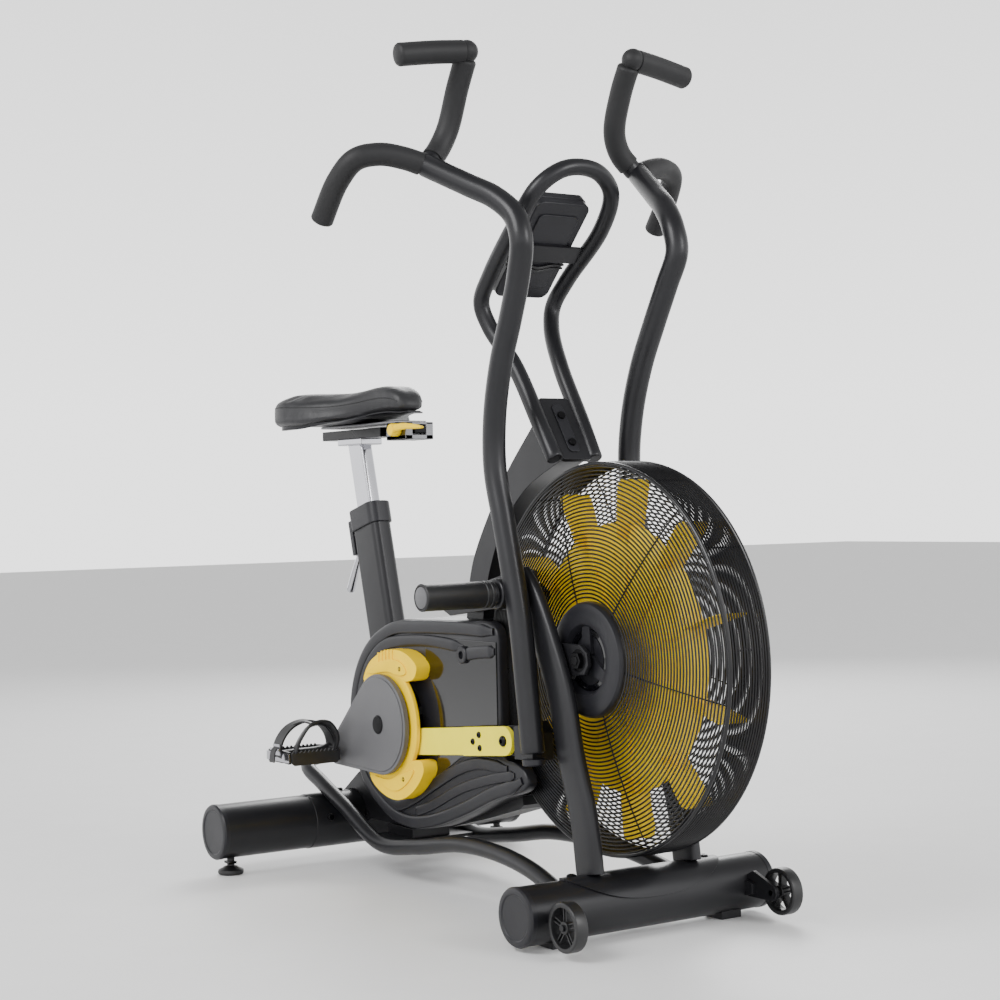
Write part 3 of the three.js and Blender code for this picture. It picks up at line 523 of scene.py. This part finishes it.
rail_side = [(-600, 98, 173), (-540, 102, 151), (-450, 102, 115), (-325, 100, 63), (-200, 97, 73),
             (-60, 97, 96), (60, 100, 98), (170, 108, 87), (262, 118, 66)]
rail_path = ([(x, -y, z) for x, y, z in rail_side[::-1]]
             + [(-634, -70, 184), (-640, 0, 186), (-634, 70, 184)] + rail_side)
rails = combine(tube(smooth(rail_path, 220), 14, 28), block(-410, -300, -99, 99, 60, 66),
                block(-400, -310, -40, 40, 66, 83.5))
make("rail_tube", rails, "frame_paint", "frame", "base_rail", bevel=0.8)

# ---------------------------------------------------------------- transport wheels
tyre = ring([(30, 199.5), (35, 199.2), (37, 200.5), (37.5, 203), (37.5, 217), (37, 219.5), (35, 220.8),
             (30, 220.5), (29, 216), (29, 204)], WHEEL, 72)
hub_geo = lathe([(0, 201), (9, 201), (10, 202.5), (10, 217.5), (9, 219), (0, 219)], WHEEL, 32)
spokes = [spoke(WHEEL, a, ((8, o - 1.2), (31, o * 1.1 - 1.2), (31, o * 1.1 + 1.2), (8, o + 1.2)), 204, 216)
          for a in np.radians(np.arange(90, 450, 72)) for o in (-3, 3)]
wheel = combine(tyre, hub_geo, *spokes)
for side, geo in (("right", mirror(wheel)), ("left", wheel)):
    make("wheel_" + side, geo, "wheel_plastic", "wheel_" + side, "transport_wheel_" + side, bevel=0.6)

# ---------------------------------------------------------------- drive housing
# The seat tube's lean, the point its own axes start from, and how far up them it ends.
LEAN_DEG, BASE, TOP = 14.5, (-461.0, 467.0), 208.0
housing_line = smooth(
    [polar(CRANK, 177, 232 - 14.5 * i) for i in range(9)]
    + [(-298, 467), (-205, 473), (-60, 476), (22, 474), (39, 460), (41, 400), (43, 330), (47, 266),
       (62, 250), (90, 246), (113, 234), (121, 216), (108, 203), (21, 177), (-71, 141), (-182, 106),
       (-251, 97), (-315, 106)],
    260, closed=True)[:-1]

# Where the shell's wall stops, in Y: at the other half, round the fan cage, and at the seat tube.
SEAM, CAGE_SEAM, TUBE_SEAM = -0.4, -58.6, -22.5
# The radius round the fan and the half width across the seat tube where those seams hold, and the
# radius of the face's hole round the crank.
CAGE_ROOM, TUBE_ROOM, HOLE = 322, 48, 80
# The outer and inner side of the face, in Y, and the thickness of the wall.
FACE, FACE_BACK, WALL = -77, -73, 4


def shell_half():
    """A hollow half casing: its wall and face are one profile carried round the outline."""
    lean = math.radians(LEAN_DEG)
    loops = []
    for x, z in housing_line:
        to_crank = np.array([CRANK[0] - x, CRANK[1] - z])
        to_crank /= np.linalg.norm(to_crank)
        seam = SEAM if math.hypot(x - FAN[0], z - FAN[1]) > CAGE_ROOM else CAGE_SEAM
        across = (x - BASE[0]) * math.cos(lean) + (z - BASE[1]) * math.sin(lean)
        if abs(across) < TUBE_ROOM and z > 200:
            seam = TUBE_SEAM
        hole = np.array(CRANK) - to_crank * HOLE
        points = [(0, seam), (0, -70), (0.8, -73.5), (2.6, -76), (6, FACE)]
        loop = [(x + to_crank[0] * d, y, z + to_crank[1] * d) for d, y in points]
        loop += [(hole[0], y, hole[1]) for y in (FACE, FACE_BACK)]
        loop += [(x + to_crank[0] * WALL, y, z + to_crank[1] * WALL) for y in (FACE_BACK, seam)]
        loops.append(np.array(loop))
    return skin(loops, closed_rings=True)


both("housing_shell", shell_half(), "dark_plastic", "frame", "housing_{}", angle=50)


def ridge(points, y, wide, tall, n=140):
    """A moulded ridge along a side-view line, wide in the plane and standing tall out of it."""
    line = smooth([(x, y, z) for x, z in points], n)
    shape = box_loop(tall, wide / 2, 0.5, 0.5, 28)
    taper = np.clip(np.minimum(np.arange(n + 1), n - np.arange(n + 1)) / 4, 0.3, 1) ** 0.5
    return sweep(line, np.array([shape * k for k in taper]), side=(0, 1, 0))


def rear_bend(r, start, stop, step=12):
    return [polar(CRANK, r, a) for a in range(start, stop, step)]


ridges = [ridge([(30, 461), (-60, 463), (-205, 460), (-296, 454)] + rear_bend(165, 112, 244)
                + [(-312, 118), (-251, 110), (-182, 119), (-71, 154), (21, 190), (84, 209), (106, 220)],
                FACE, 23, 6.5),
          ridge([(-62, 430), (-130, 435), (-200, 436), (-270, 432)] + rear_bend(146, 102, 230)
                + [(-352, 154), (-300, 134), (-250, 147), (-165, 186), (-80, 222), (-20, 236), (64, 235)],
                FACE, 21, 5.5),
          ridge([(-236, 128), (-180, 146), (-80, 187), (20, 214), (84, 226)], FACE, 18, 4)]
both("housing_ridges", combine(*ridges), "dark_plastic", "frame")
boss = lathe([(0, -74), (13, -74), (15, -76), (15, -84), (13.5, -85.5), (7, -85.5), (6.4, -80), (0, -80)],
             (-62, 418), 40)
both("housing_boss", combine(boss, ridge([(-58, 418), (-20, 424), (34, 428)], -78, 22, 6, n=30)),
     "dark_plastic", "frame")
glossy = plate([(-190, 181), (-80, 240), (-10, 254), (37, 256), (37, 444), (-190, 444)]
               + [polar(CRANK, 139, a) for a in range(46, -48, -6)], -79, -76)
both("gloss_panel", glossy, "gloss_black", "frame", "side_panel_{}", bevel=1)

# ---------------------------------------------------------------- belt drive and cranks
spindle = lathe([(0, -78), (50, -78), (52, -76), (52, -70), (50, -68), (13, -68), (12, -60), (12, 60),
                 (13, 68), (50, 68), (52, 70), (52, 76), (50, 78), (0, 78)], CRANK, 64)
make("crank_spindle", spindle, "steel", "crank", "crank_axle")
guard_ring = ring([(79, -98.5), (78, -100), (78, -106.5), (79.5, -108), (104, -108), (106, -106), (106, -100),
                   (105, -98.5)], CRANK)


def about(points, n=90):
    return [tuple(p) for p in smooth([(CRANK[0] + x, CRANK[1] + z) for x, z in points], n, closed=True)[:-1]]


foot_top = about([(-78, 74), (-60, 104), (-16, 127), (32, 135), (76, 129), (109, 108), (100, 88), (70, 80),
                  (20, 82), (-40, 76)])
foot_low = about([(-62, -80), (-58, -103), (-20, -126), (36, -133), (90, -112), (127, -72), (122, -58),
                  (98, -56), (60, -70), (0, -90)])
step_top = about([(-60, 90), (-10, 112), (30, 118), (66, 110), (76, 96), (60, 90), (10, 94), (-40, 88)])
step_low = about([(-40, -98), (0, -114), (38, -116), (80, -94), (96, -74), (60, -82), (10, -98)])
fins = [plate([(CRANK[0] + x - 2, CRANK[1] + 112), (CRANK[0] + x + 2, CRANK[1] + 112),
               (CRANK[0] + x + 2, CRANK[1] + z), (CRANK[0] + x - 2, CRANK[1] + z)], -110, -86)
        for x, z in ((-20, 127.5), (-8, 131), (4, 133.5), (16, 135), (28, 136))]
guard = combine(guard_ring, plate(foot_top, -107.5, -77), plate(foot_low, -107.5, -77),
                plate(step_top, -110.5, -100), plate(step_low, -110.5, -100), *fins)
both("guard", guard, "yellow_plastic", "frame", "crank_guard_{}", bevel=2)
screws = [bolt(CRANK[0] + x, CRANK[1] + z, -108.2, 5) for x, z in ((56, 102), (62, -93))]
both("guard_screws", combine(*screws), "bolt_black", "frame")


def crank_cover(deg):
    p = polar(CRANK, THROW, deg)
    outline = hull(disc_points(CRANK, 90, 120) + disc_points(p, 24, 60))
    inner = hull(disc_points(CRANK, 84, 120) + disc_points(p, 18, 60))
    return (combine(plate(outline, -122, -112), plate(inner, -124, -121)),
            combine(lathe([(0, -122), (17, -122), (17, -125), (15, -126.4), (0, -126.8)], CRANK, 48),
                    bolt(*p, -123.5, 9)))


def wedge(path, half, low, high):
    """A flat bar along a path near X: half is its half width along Y, low and high its edges in Z."""
    made = [np.array([(x, y - half, z + low), (x, y + half, z + low), (x, y + half, z + high),
                      (x, y - half, z + high)]) for x, y, z in path]
    return skin(made)


def pedal(deg):
    x, z = polar(CRANK, THROW, deg)
    y = -187
    bars = []
    for s in (-1, 1):
        teeth = [(y - 50 + 100 * k / 24, z + (13 if k % 2 else 8.5)) for k in range(25)]
        outline = np.array(teeth + [(y + 50, z - 9), (y + 44, z - 14), (y - 44, z - 14), (y - 50, z - 9)])
        a, b = sorted((x + s * 46, x + s * 42.5))
        bars.append(skin([np.stack([np.full(len(outline), e), outline[:, 0], outline[:, 1]], 1)
                          for e in (a, b)]))
        bars.append(block(x - 44, x + 44, y + s * 20 - 2.5, y + s * 20 + 2.5, z - 8, z + 5))
    bars.append(lathe([(0, y - 47), (9, y - 47), (11, y - 44), (12, y - 20), (12, y + 20), (14, y + 40),
                       (17, y + 48), (19, y + 52), (17, y + 58), (0, y + 58)], (x, z), 40))
    bars += [wedge([(x - 40, e, z + 1), (x, e, z + 3), (x + 40, e, z + 1)], 3, -12, 10)
             for e in (y - 51, y + 48)]
    clip_line = smooth([(x + 42, y - 42, z + 6), (x + 58, y - 40, z + 34), (x + 62, y - 18, z + 60),
                        (x + 62, y + 16, z + 60), (x + 58, y + 36, z + 34), (x + 42, y + 40, z + 6)], 50)
    clip = sweep(clip_line, rounded_box(19, 6, 2.6, 4), side=(1, 0, 0.5))
    spurs = [sweep(smooth([(x + 60, y + s * 14, z + 62), (x + 36, y + s * 20, z + 64),
                           (x + 10, y + s * 28, z + 56)], 14), rounded_box(9, 3.4, 1.6, 4), side=(0, 1, 0))
             for s in (-1, 1)]
    strap_line = smooth([(x + 2, y - 53, z - 10), (x + 4, y - 56, z + 22), (x + 8, y - 36, z + 52),
                         (x + 10, y, z + 63), (x + 8, y + 34, z + 50), (x + 4, y + 52, z + 22),
                         (x + 2, y + 50, z - 10)], 60)
    strap = sweep(strap_line, [(-15, -1.8), (15, -1.8), (15, 1.8), (-15, 1.8)], side=(1, 0, 0))
    tail = sweep(smooth([(x + 4, y - 57, z + 20), (x + 8, y - 68, z + 12), (x + 10, y - 72, z - 8)], 20),
                 [(-9, -1), (9, -1), (9, 1), (-9, 1)], side=(1, 0, 0))
    outer_side = wedge([(x - 44, y - 54, z + 1), (x, y - 55, z + 1), (x + 44, y - 54, z + 1)], 1.4, -9, 7)
    buckle = combine(block(x - 9, x + 17, y - 60, y - 55, z + 4, z + 24),
                     tube([(x - 11, y - 62, z + 14), (x + 19, y - 62, z + 14)], 2.8, 10), outer_side,
                     *[tube([(x + d, y - 46, z - 2), (x + d, y + 44, z - 2)], 4.2, 12) for d in (-30, 30)])
    spindle = lathe([(0, y + 50), (8, y + 50), (8, -127), (11, -127), (11, -124.6), (0, -124.6)], (x, z), 32)
    weight = block(x - 30, x - 12, y - 34, y + 34, z - 13, z - 8)
    return (combine(*bars, weight), combine(clip, *spurs), combine(strap, tail), combine(buckle, spindle))


for side, deg in PEDAL_DEG.items():
    cover, caps = crank_cover(deg)
    make("crank_cover_" + side, side_of(cover, side), "grey_cover", "crank", "crank_arm_" + side, bevel=1.4)
    make("crank_caps_" + side, side_of(caps, side), "bolt_black", "crank")
    cage, clip, strap, metal = pedal(deg)
    body = "pedal_" + side
    make("pedal_cage_" + side, side_of(cage, side), "pedal_plastic", body, body, bevel=0.8)
    make("pedal_clip_" + side, side_of(clip, side), "pedal_plastic", body)
    make("pedal_strap_" + side, side_of(strap, side), "black_rubber", body)
    make("pedal_metal_" + side, side_of(metal, side), "chrome", body, bevel=0.5)

# ---------------------------------------------------------------- link rods
for side, sign in SIDES.items():
    a = math.radians(sign * REST_DEG)
    rx, rz = 78 - PIVOT[0], 288 - PIVOT[1]
    px = PIVOT[0] + rx * math.cos(a) + rz * math.sin(a)
    pz = PIVOT[1] - rx * math.sin(a) + rz * math.cos(a)
    ex, ez = polar(CRANK, ECCENTRIC, ECCENTRIC_DEG[side])
    d = np.array([px - ex, pz - ez]) / math.hypot(px - ex, pz - ez)

    def at(u, w, px=px, pz=pz, d=d):
        return px + d[0] * u - d[1] * w, pz + d[1] * u + d[0] * w

    span = math.hypot(px - ex, pz - ez)
    bar = plate([at(-30, 23.5), at(-30, -23.5), at(-span, -23.5), at(-span, 23.5)], -95.5, -88)
    eye = lathe([(0, -95.5), (30, -95.5), (30, -88), (0, -88)], (ex, ez), 48)
    nose = [at(24.3 * math.cos(t), 24.3 * math.sin(t)) for t in np.linspace(-math.pi / 2, math.pi / 2, 30)]
    end = plate(nose + [at(-126, 24.3), at(-126, -24.3)], -102, -93)
    make("rod_bar_" + side, side_of(combine(bar, eye, end), side), "rod_paint", "rod_" + side,
         "link_rod_" + side, bevel=1.2)
    heads = [bolt(*at(u, w), -101.6, r)
             for u, w, r in ((0, 0, 9), (-72, 11, 5.4), (-72, -11, 5.4), (-92, 0, 5.4))]
    heads.append(lathe([(0, -95), (6, -95), (6, -81), (0, -81)], (px, pz), 24))
    make("rod_bolts_" + side, side_of(combine(*heads), side), "bolt_black", "rod_" + side)
    pin = lathe([(0, -111), (13, -111), (14, -110), (14, -80), (13, -79), (0, -79)], (ex, ez), 40)
    make("rod_pin_" + side, side_of(pin, side), "steel", "rod_" + side, "eccentric_pin_" + side)

# ---------------------------------------------------------------- swing arms
S_POINT = (68, -196, 1235)
arm_path = [(204, -130, 280), (196, -130, 370), (184, -130, 490), (168, -130, 570), (150, -130, 650),
            (132, -130, 735), (139, -130, 820), (163, -130, 900), (196, -130, 968), (227, -132, 1032),
            (247, -137, 1085), (234, -139, 1126), (200, -150, 1160), (150, -168, 1189), S_POINT]
drop_path = smooth([S_POINT, (56, -232, 1247), (42, -268, 1253), (24, -303, 1245), (-6, -320, 1215),
                    (-55, -328, 1155)], 120)
upright_path = smooth([(64, -188, 1240), (58, -163, 1268), (63, -147, 1302), (88, -141, 1364),
                       (116, -139, 1412), (122, -139, 1424)], 60)
cross_path = smooth([(121, -141, 1416.5), (114, -200, 1410.5), (107, -270, 1400)], 40)
neck = [tube(drop_path[:30], 16.5, 28), tube(upright_path[:52], 16.5, 28), tube(cross_path[:16], 16.5, 28)]
joints = [ball(66, -195, 1237.9, 18.6, 20), ball(121, -140, 1417, 16, 20)]
lug_eye = hull(disc_points((78, 288), 24.5, 60) + [(150, 314), (150, 262)])
lugs = [plate(lug_eye, -87.2, -80.2),
        plate([(124, 262), (124, 314), (176, 324), (190, 306), (190, 262)], -112, -80.2),
        block(174, 202, -130, -110, 262, 330), block(140, 176, -134, -120, 504, 556)]
boss = lathe([(0, -112), (23, -112), (25, -114), (25, -147), (23, -149), (0, -149)], PIVOT, 56)
arm = combine(tube(smooth(arm_path, 200), 19, 40, ends=0.2), *neck, *joints, boss, *lugs)


def grip(line):
    """A foam sleeve along the line, a little fuller and then rounded off at its ends."""
    t = np.linspace(0, 1, len(line))
    radii = 19.0 + 0.12 * (np.exp(-(t / 0.03) ** 2) + np.exp(-((1 - t) / 0.03) ** 2))
    first, last = outwards(line)
    path = [line[0] + first * 2.4, line[0] + first * 1.6, *line]
    path += [line[-1] + last * k for k in (2, 5, 7.5, 8.6)]
    r = [17.2, 18.8] + list(radii) + [19, 17, 12, 5]
    return sweep(path, np.array([circle(q, 40) for q in r]))


foam_corner = ball(121, -141, 1416.6, 18.9, 24)
grips = {"drop_grip_": grip(drop_path[5:118]),
         "upright_grip_": combine(grip(upright_path[4:54]), foam_corner),
         "cross_grip_": grip(cross_path[3:38])}
for side, sign in SIDES.items():
    def place(geo, side=side, sign=sign):
        return turned(side_of(geo, side), PIVOT, sign * REST_DEG)
    body = "arm_" + side
    make("arm_tube_" + side, place(arm), "frame_paint", body, body, bevel=1)
    for name, geo in grips.items():
        make(name + "sleeve_" + side, place(geo), "grip_foam", body, name + side)
    make("arm_plug_" + side, place(lathe([(0, 258), (17, 258), (18.4, 260), (18.4, 268), (0, 268)],
                                         (204.6, -130), 40, "z")), "dark_plastic", body)

# ---------------------------------------------------------------- foot pegs
peg_profile = [(0, -155.5), (20.5, -155.5), (22, -157), (22, -163), (21, -164), (21, -166), (22, -167),
               (22, -173), (21, -174), (21, -176), (21.6, -178), (21.6, -280), (22, -282), (22, -285.5),
               (20.5, -287), (18.6, -287), (18, -285), (0, -285)]
both("peg_sleeve", lathe(peg_profile, PIVOT, 64), "black_rubber", "frame", "foot_peg_{}")
both("peg_end", lathe([(0, -284), (17.4, -284), (17.4, -286.8), (15.8, -287.8), (0, -288)], PIVOT, 56),
     "grey_cover", "frame")
both("peg_shaft", lathe([(0, -108.5), (10, -108.5), (10, -150.5), (18, -150.5), (19, -151.5), (19, -154),
                         (18, -155), (0, -155)], PIVOT, 48), "steel", "frame", "pivot_shaft_{}")


# ---------------------------------------------------------------- seat
def leaned(geo):
    """Puts a piece made upright at the foot of the seat tube and leans it back with the tube."""
    return framed(geo, BASE, LEAN_DEG)


def layer(a, b, corner, z):
    s = np.array(rounded_box(a, b, corner, 10))
    return np.stack([s[:, 0], s[:, 1], np.full(len(s), float(z))], 1)


def prism(a, b, corner, z0, z1):
    return skin([layer(a, b, corner, z) for z in (z0, z1)])


def tube_prism(outer, inner, z0, z1):
    rings = ((outer, z0), (outer, z1), (inner, z1), (inner, z0))
    return skin([layer(*box, z) for box, z in rings], closed_rings=True)


make("seat_mast_tube", leaned(tube_prism((88, 42, 14), (54, 28, 6), -235, TOP)), "frame_paint", "frame",
     "seat_tube", bevel=1)
collar = combine(tube_prism((96, 50, 18), (53.4, 27.4, 6), TOP - 33, TOP + 8),
                 block(-57, -45, -19, -8, TOP - 76, TOP - 8), block(-57, -45, 8, 19, TOP - 76, TOP - 8))
make("seat_collar_moulding", leaned(collar), "dark_plastic", "frame", "seat_collar", bevel=2)
lever_line = smooth([(-52, 0, TOP - 55), (-68, 0, TOP - 78), (-92, 0, TOP - 104), (-119, 0, TOP - 134)], 60)
lever_r = np.interp(np.linspace(0, 1, 61), [0, 0.25, 0.4, 0.7, 0.93, 0.98, 1], [5.5, 5, 6.6, 8, 8.4, 7, 4])
lever = combine(sweep(lever_line, np.array([circle(r, 24) for r in lever_r])),
                lathe([(0, -7), (5.6, -7), (5.6, 7), (0, 7)], (-52, TOP - 55), 24))
make("clamp_handle", leaned(lever), "chrome", "clamp_lever", "clamp_lever")
post = leaned(prism(52, 26, 6, -75, 352))
clamp = block(-592, -500, -24, 24, 795, 808)
rail = combine(block(-658, -430, -21, 21, 807, 825), block(-440, -318, -12, 12, 810, 823))
make("post_bar", combine(post, clamp), "chrome", "post", "seat_post", bevel=2.5)
make("post_head", rail, "bolt_black", "post", bevel=1.5)
bracket = combine(block(-392, -322, -30, -14, 798, 830), block(-392, -322, 14, 30, 798, 830),
                  block(-392, -322, -30, 30, 825, 830), block(-392, -322, -30, 30, 798, 807),
                  block(-640, -352, -34, 34, 829.6, 834))
make("seat_bracket", bracket, "steel", "carriage", "seat_carriage", bevel=1.5)
make("bracket_bolts", combine(*[bolt(x, 822, -29.6, 5) for x in (-384, -330)]), "bolt_black", "carriage")
knob = lathe([(0, -30.5), (11.5, -30.5), (12, -32), (12, -46), (10.5, -49.5), (0, -50)], (-346, 816), 12)
handle = sweep(smooth([(-346, -44, 818), (-310, -44, 821), (-270, -44, 819), (-241, -44, 816.5)], 30),
               np.array([[(4 * c, h * s) for c, s in circle(1, 16)] for h in np.interp(
                   np.linspace(0, 1, 31), [0, 0.3, 0.8, 1], [7, 6.4, 4.4, 2.2])]), side=(0, 1, 0))
make("slider_handle", combine(knob, handle), "yellow_plastic", "slider_lever", "slider_lever", bevel=0.6)

SADDLE = [(-690, 60, 880, 850), (-676, 104, 891, 838), (-650, 134, 896, 836.4), (-618, 141, 897, 836.4),
          (-575, 133, 895, 836.4), (-535, 112, 893, 836.4), (-500, 88, 893, 838), (-462, 66, 896, 843),
          (-428, 52, 900, 848), (-396, 44, 901, 850), (-370, 38, 896, 850), (-350, 30, 884, 848),
          (-340, 16, 868, 850)]


def loft(sections, inset, n=56, rings=70):
    line = smooth(sections, rings)
    made = []
    for x, w, top, low in line:
        a = np.linspace(0, 2 * math.pi, n, endpoint=False)
        w, top, low = max(3, w - inset), top - inset, low + inset * 0.3
        y = w * np.sign(np.cos(a)) * np.abs(np.cos(a)) ** 0.62
        dip = 3.5 * np.exp(-(y / 14) ** 2) * (np.sin(a) > 0) * (1 if x < -420 else 0.4)
        hang = np.clip((np.abs(y) - 76) / 36, 0, 1) ** 1.5 * 9 * (np.sin(a) < 0.1)
        round_off = np.where(np.sin(a) < 0, 0.38, 0.7)
        z = (top + low) / 2 + (top - low) / 2 * np.sign(np.sin(a)) * np.abs(np.sin(a)) ** round_off
        z = z - dip - hang
        made.append(np.stack([np.full(n, x), y, z], 1))
    return skin(made)


def puffed(obj, frames=20, pressure=4.0, cap=0.005):
    """Swells a pad with cloth under pressure, holding its underside, and keeps the result."""
    scene = bpy.context.scene
    remesh = obj.modifiers.new("voxels", "REMESH")
    remesh.mode, remesh.voxel_size = "VOXEL", 0.005
    graph = bpy.context.evaluated_depsgraph_get()
    solid = bpy.data.meshes.new_from_object(obj.evaluated_get(graph))
    obj.modifiers.clear()
    obj.data = solid
    rest = np.array([v.co[:] for v in solid.vertices])
    low = rest[:, 2].min()
    group = obj.vertex_groups.new(name="held")
    group.add([i for i, p in enumerate(rest) if p[2] < low + 0.012], 1.0, "REPLACE")
    cloth = obj.modifiers.new("cloth", "CLOTH")
    cloth.settings.quality = 4
    cloth.settings.use_pressure = True
    cloth.settings.uniform_pressure_force = pressure
    cloth.settings.vertex_group_mass = "held"
    cloth.settings.effector_weights.gravity = 0
    for f in range(1, frames + 1):
        scene.frame_set(f)
    graph = bpy.context.evaluated_depsgraph_get()
    moved = obj.evaluated_get(graph).to_mesh()
    move = np.array([v.co[:] for v in moved.vertices]) - rest
    size = np.linalg.norm(move, axis=1)[:, None]
    move *= np.minimum(1, cap / np.maximum(size, 1e-9))
    obj.modifiers.clear()
    solid.vertices.foreach_set("co", (rest + move).ravel())
    scene.frame_set(1)


saddle = make("saddle_pad", loft(SADDLE, 3.0), "saddle_cover", "carriage", "saddle")
puffed(saddle)
saddle.data.polygons.foreach_set("use_smooth", [True] * len(saddle.data.polygons))
if not saddle.data.materials:
    saddle.data.materials.append(M["saddle_cover"])
relax = saddle.modifiers.new("relax", "SMOOTH")
relax.iterations = 4
saddle.modifiers.new("fine", "SUBSURF").levels = 1
graph = bpy.context.evaluated_depsgraph_get()
tree = BVHTree.FromObject(saddle, graph)
stitch = []
for s in (-1, 1):
    points = []
    for x, w, top, low in smooth(SADDLE, 60)[3:57]:
        start = Vector(((x + SHIFT) / 1000, s * w * 0.93 / 1000, (top * 0.55 + low * 0.45) / 1000))
        hit = tree.find_nearest(start)[0]
        points.append((hit.x * 1000 - SHIFT, hit.y * 1000, hit.z * 1000))
    stitch.append(tube(smooth(points, 90), 1.1, 8))
make("saddle_piping", combine(*stitch), "black_rubber", "carriage")
pan = [(x, w * 0.86, low + 3, low - 1) for x, w, top, low in SADDLE]
make("saddle_pan", loft(pan, 0.0, rings=40), "dark_plastic", "carriage")

# ---------------------------------------------------------------- console mast and console
MOUNT, CONSOLE = ((136, 795), 123.2), ((88, 1092), 45)  # (x, z) and slope in degrees
mast_side = [(163, 40, 748), (128, 43, 805), (64, 47, 905), (16, 64, 974), (8, 74, 1014), (44, 79, 1056),
             (134, 86, 1130), (180, 74, 1183), (196, 40, 1211)]
mast_path = [(x, -y, z) for x, y, z in mast_side] + [(199, 0, 1219)] + mast_side[::-1]


mount = framed(prism(124, 62, 8, -4, 4), *MOUNT)
strap_plate = framed(block(-16, 16, -80, 80, -3, 3), *CONSOLE)
make("mast_tube", combine(tube(smooth(mast_path, 220), 14, 32), mount, strap_plate), "frame_paint", "frame",
     "console_mast", bevel=1)
recess = framed(prism(96, 22, 8, -6.4, -3.8), *MOUNT)
make("mast_recess", recess, "dark_plastic", "frame", bevel=1)
mast_bolts = [framed(lathe([(0, -10), (6.4, -10), (7, -9), (7, -6), (0, -6)], (c, 0), 28, "z"), *MOUNT)
              for c in (-30, 24)]
make("mast_bolts", combine(*mast_bolts), "bolt_black", "frame")


def console(geo):
    return framed(geo, *CONSOLE)


case = combine(prism(198, 108, 16, 5, 20), prism(200, 110, 16, 19, 34), prism(172, 96, 12, 33, 37.5))
make("console_shell", console(case), "dark_plastic", "frame", "console_case", bevel=2.5)
make("console_back", console(prism(150, 80, 10, 2.5, 6)), "dark_plastic", "frame", bevel=1.5)
make("console_window", console(block(-16, 76, -40, 40, 36.5, 38)), "gloss_black", "frame",
     "console_screen", bevel=1)
ties = [tube(smooth([(c, -57, 8), (c + 4, -30, 0.5), (c - 3, 0, -1.5), (c + 3, 30, 0.5), (c, 57, 8)], 30),
             2.2, 10) for c in (-34, -27)]
make("console_strap", console(combine(*ties)), "black_rubber", "frame")
for side, y in (("right", -26), ("left", 26)):
    cap = lathe([(0, 32), (8.4, 32), (9, 33), (9, 39), (8, 40.2), (4, 40.5), (0, 40.5)], (-48, y), 32, "z")
    make("key_" + side, console(cap), "grey_cover", "button_" + side, "console_button_" + side)

# ---------------------------------------------------------------- CAD nodes that stay
for node, finish, width in (("lower_frame", "frame_paint", 4), ("drive_pulley", "steel", 1),
                            ("drive_belt", "black_rubber", 0.4)):
    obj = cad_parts[node]
    obj.data.materials.clear()
    obj.data.materials.append(M[finish])
    m = obj.modifiers.new("edges", "BEVEL")
    m.width, m.segments, m.limit_method, m.angle_limit = width / 1000, 3, "ANGLE", math.radians(40)

# ---------------------------------------------------------------- studio
bpy.ops.mesh.primitive_plane_add(size=40, location=(0, 0, 0))
floor = bpy.context.object
floor.name = "studio_floor"
floor.data.materials.append(material("studio_floor", (0.86, 0.86, 0.86), 0.55, spread=0.01, bump=0.0))
world = bpy.data.worlds.new("studio")
bpy.context.scene.world = world
world.use_nodes = True
sky, join = world.node_tree.nodes, world.node_tree.links
sky["Background"].inputs["Color"].default_value = (1, 1, 1, 1)
# The room is bright all round at eye level and dimmer overhead, the same from every side.
direction = sky.new("ShaderNodeTexCoord")
parts = sky.new("ShaderNodeSeparateXYZ")
height = sky.new("ShaderNodeMath")
height.operation = "ABSOLUTE"
level = sky.new("ShaderNodeMapRange")
for socket, value in (("From Min", 0.05), ("From Max", 0.75), ("To Min", 2.4), ("To Max", 0.45)):
    level.inputs[socket].default_value = value
join.new(direction.outputs["Generated"], parts.inputs[0])
join.new(parts.outputs["Z"], height.inputs[0])
join.new(height.outputs[0], level.inputs["Value"])
join.new(level.outputs["Result"], sky["Background"].inputs["Strength"])


def area(name, where, aim, size, power):
    data = bpy.data.lights.new(name, "AREA")
    data.shape, data.size, data.energy = "SQUARE", size, power
    lamp = bpy.data.objects.new(name, data)
    bpy.context.scene.collection.objects.link(lamp)
    lamp.location = where
    lamp.rotation_euler = (Vector(aim) - Vector(where)).to_track_quat("-Z", "Y").to_euler()


area("key", (0.6, -3.2, 3.0), (0, 0, 0.6), 1.8, 120)
area("front", (3.6, 1.2, 2.2), (0.2, 0, 0.6), 1.4, 65)
area("back", (-3.0, 2.4, 2.6), (0, 0, 0.8), 2.0, 110)
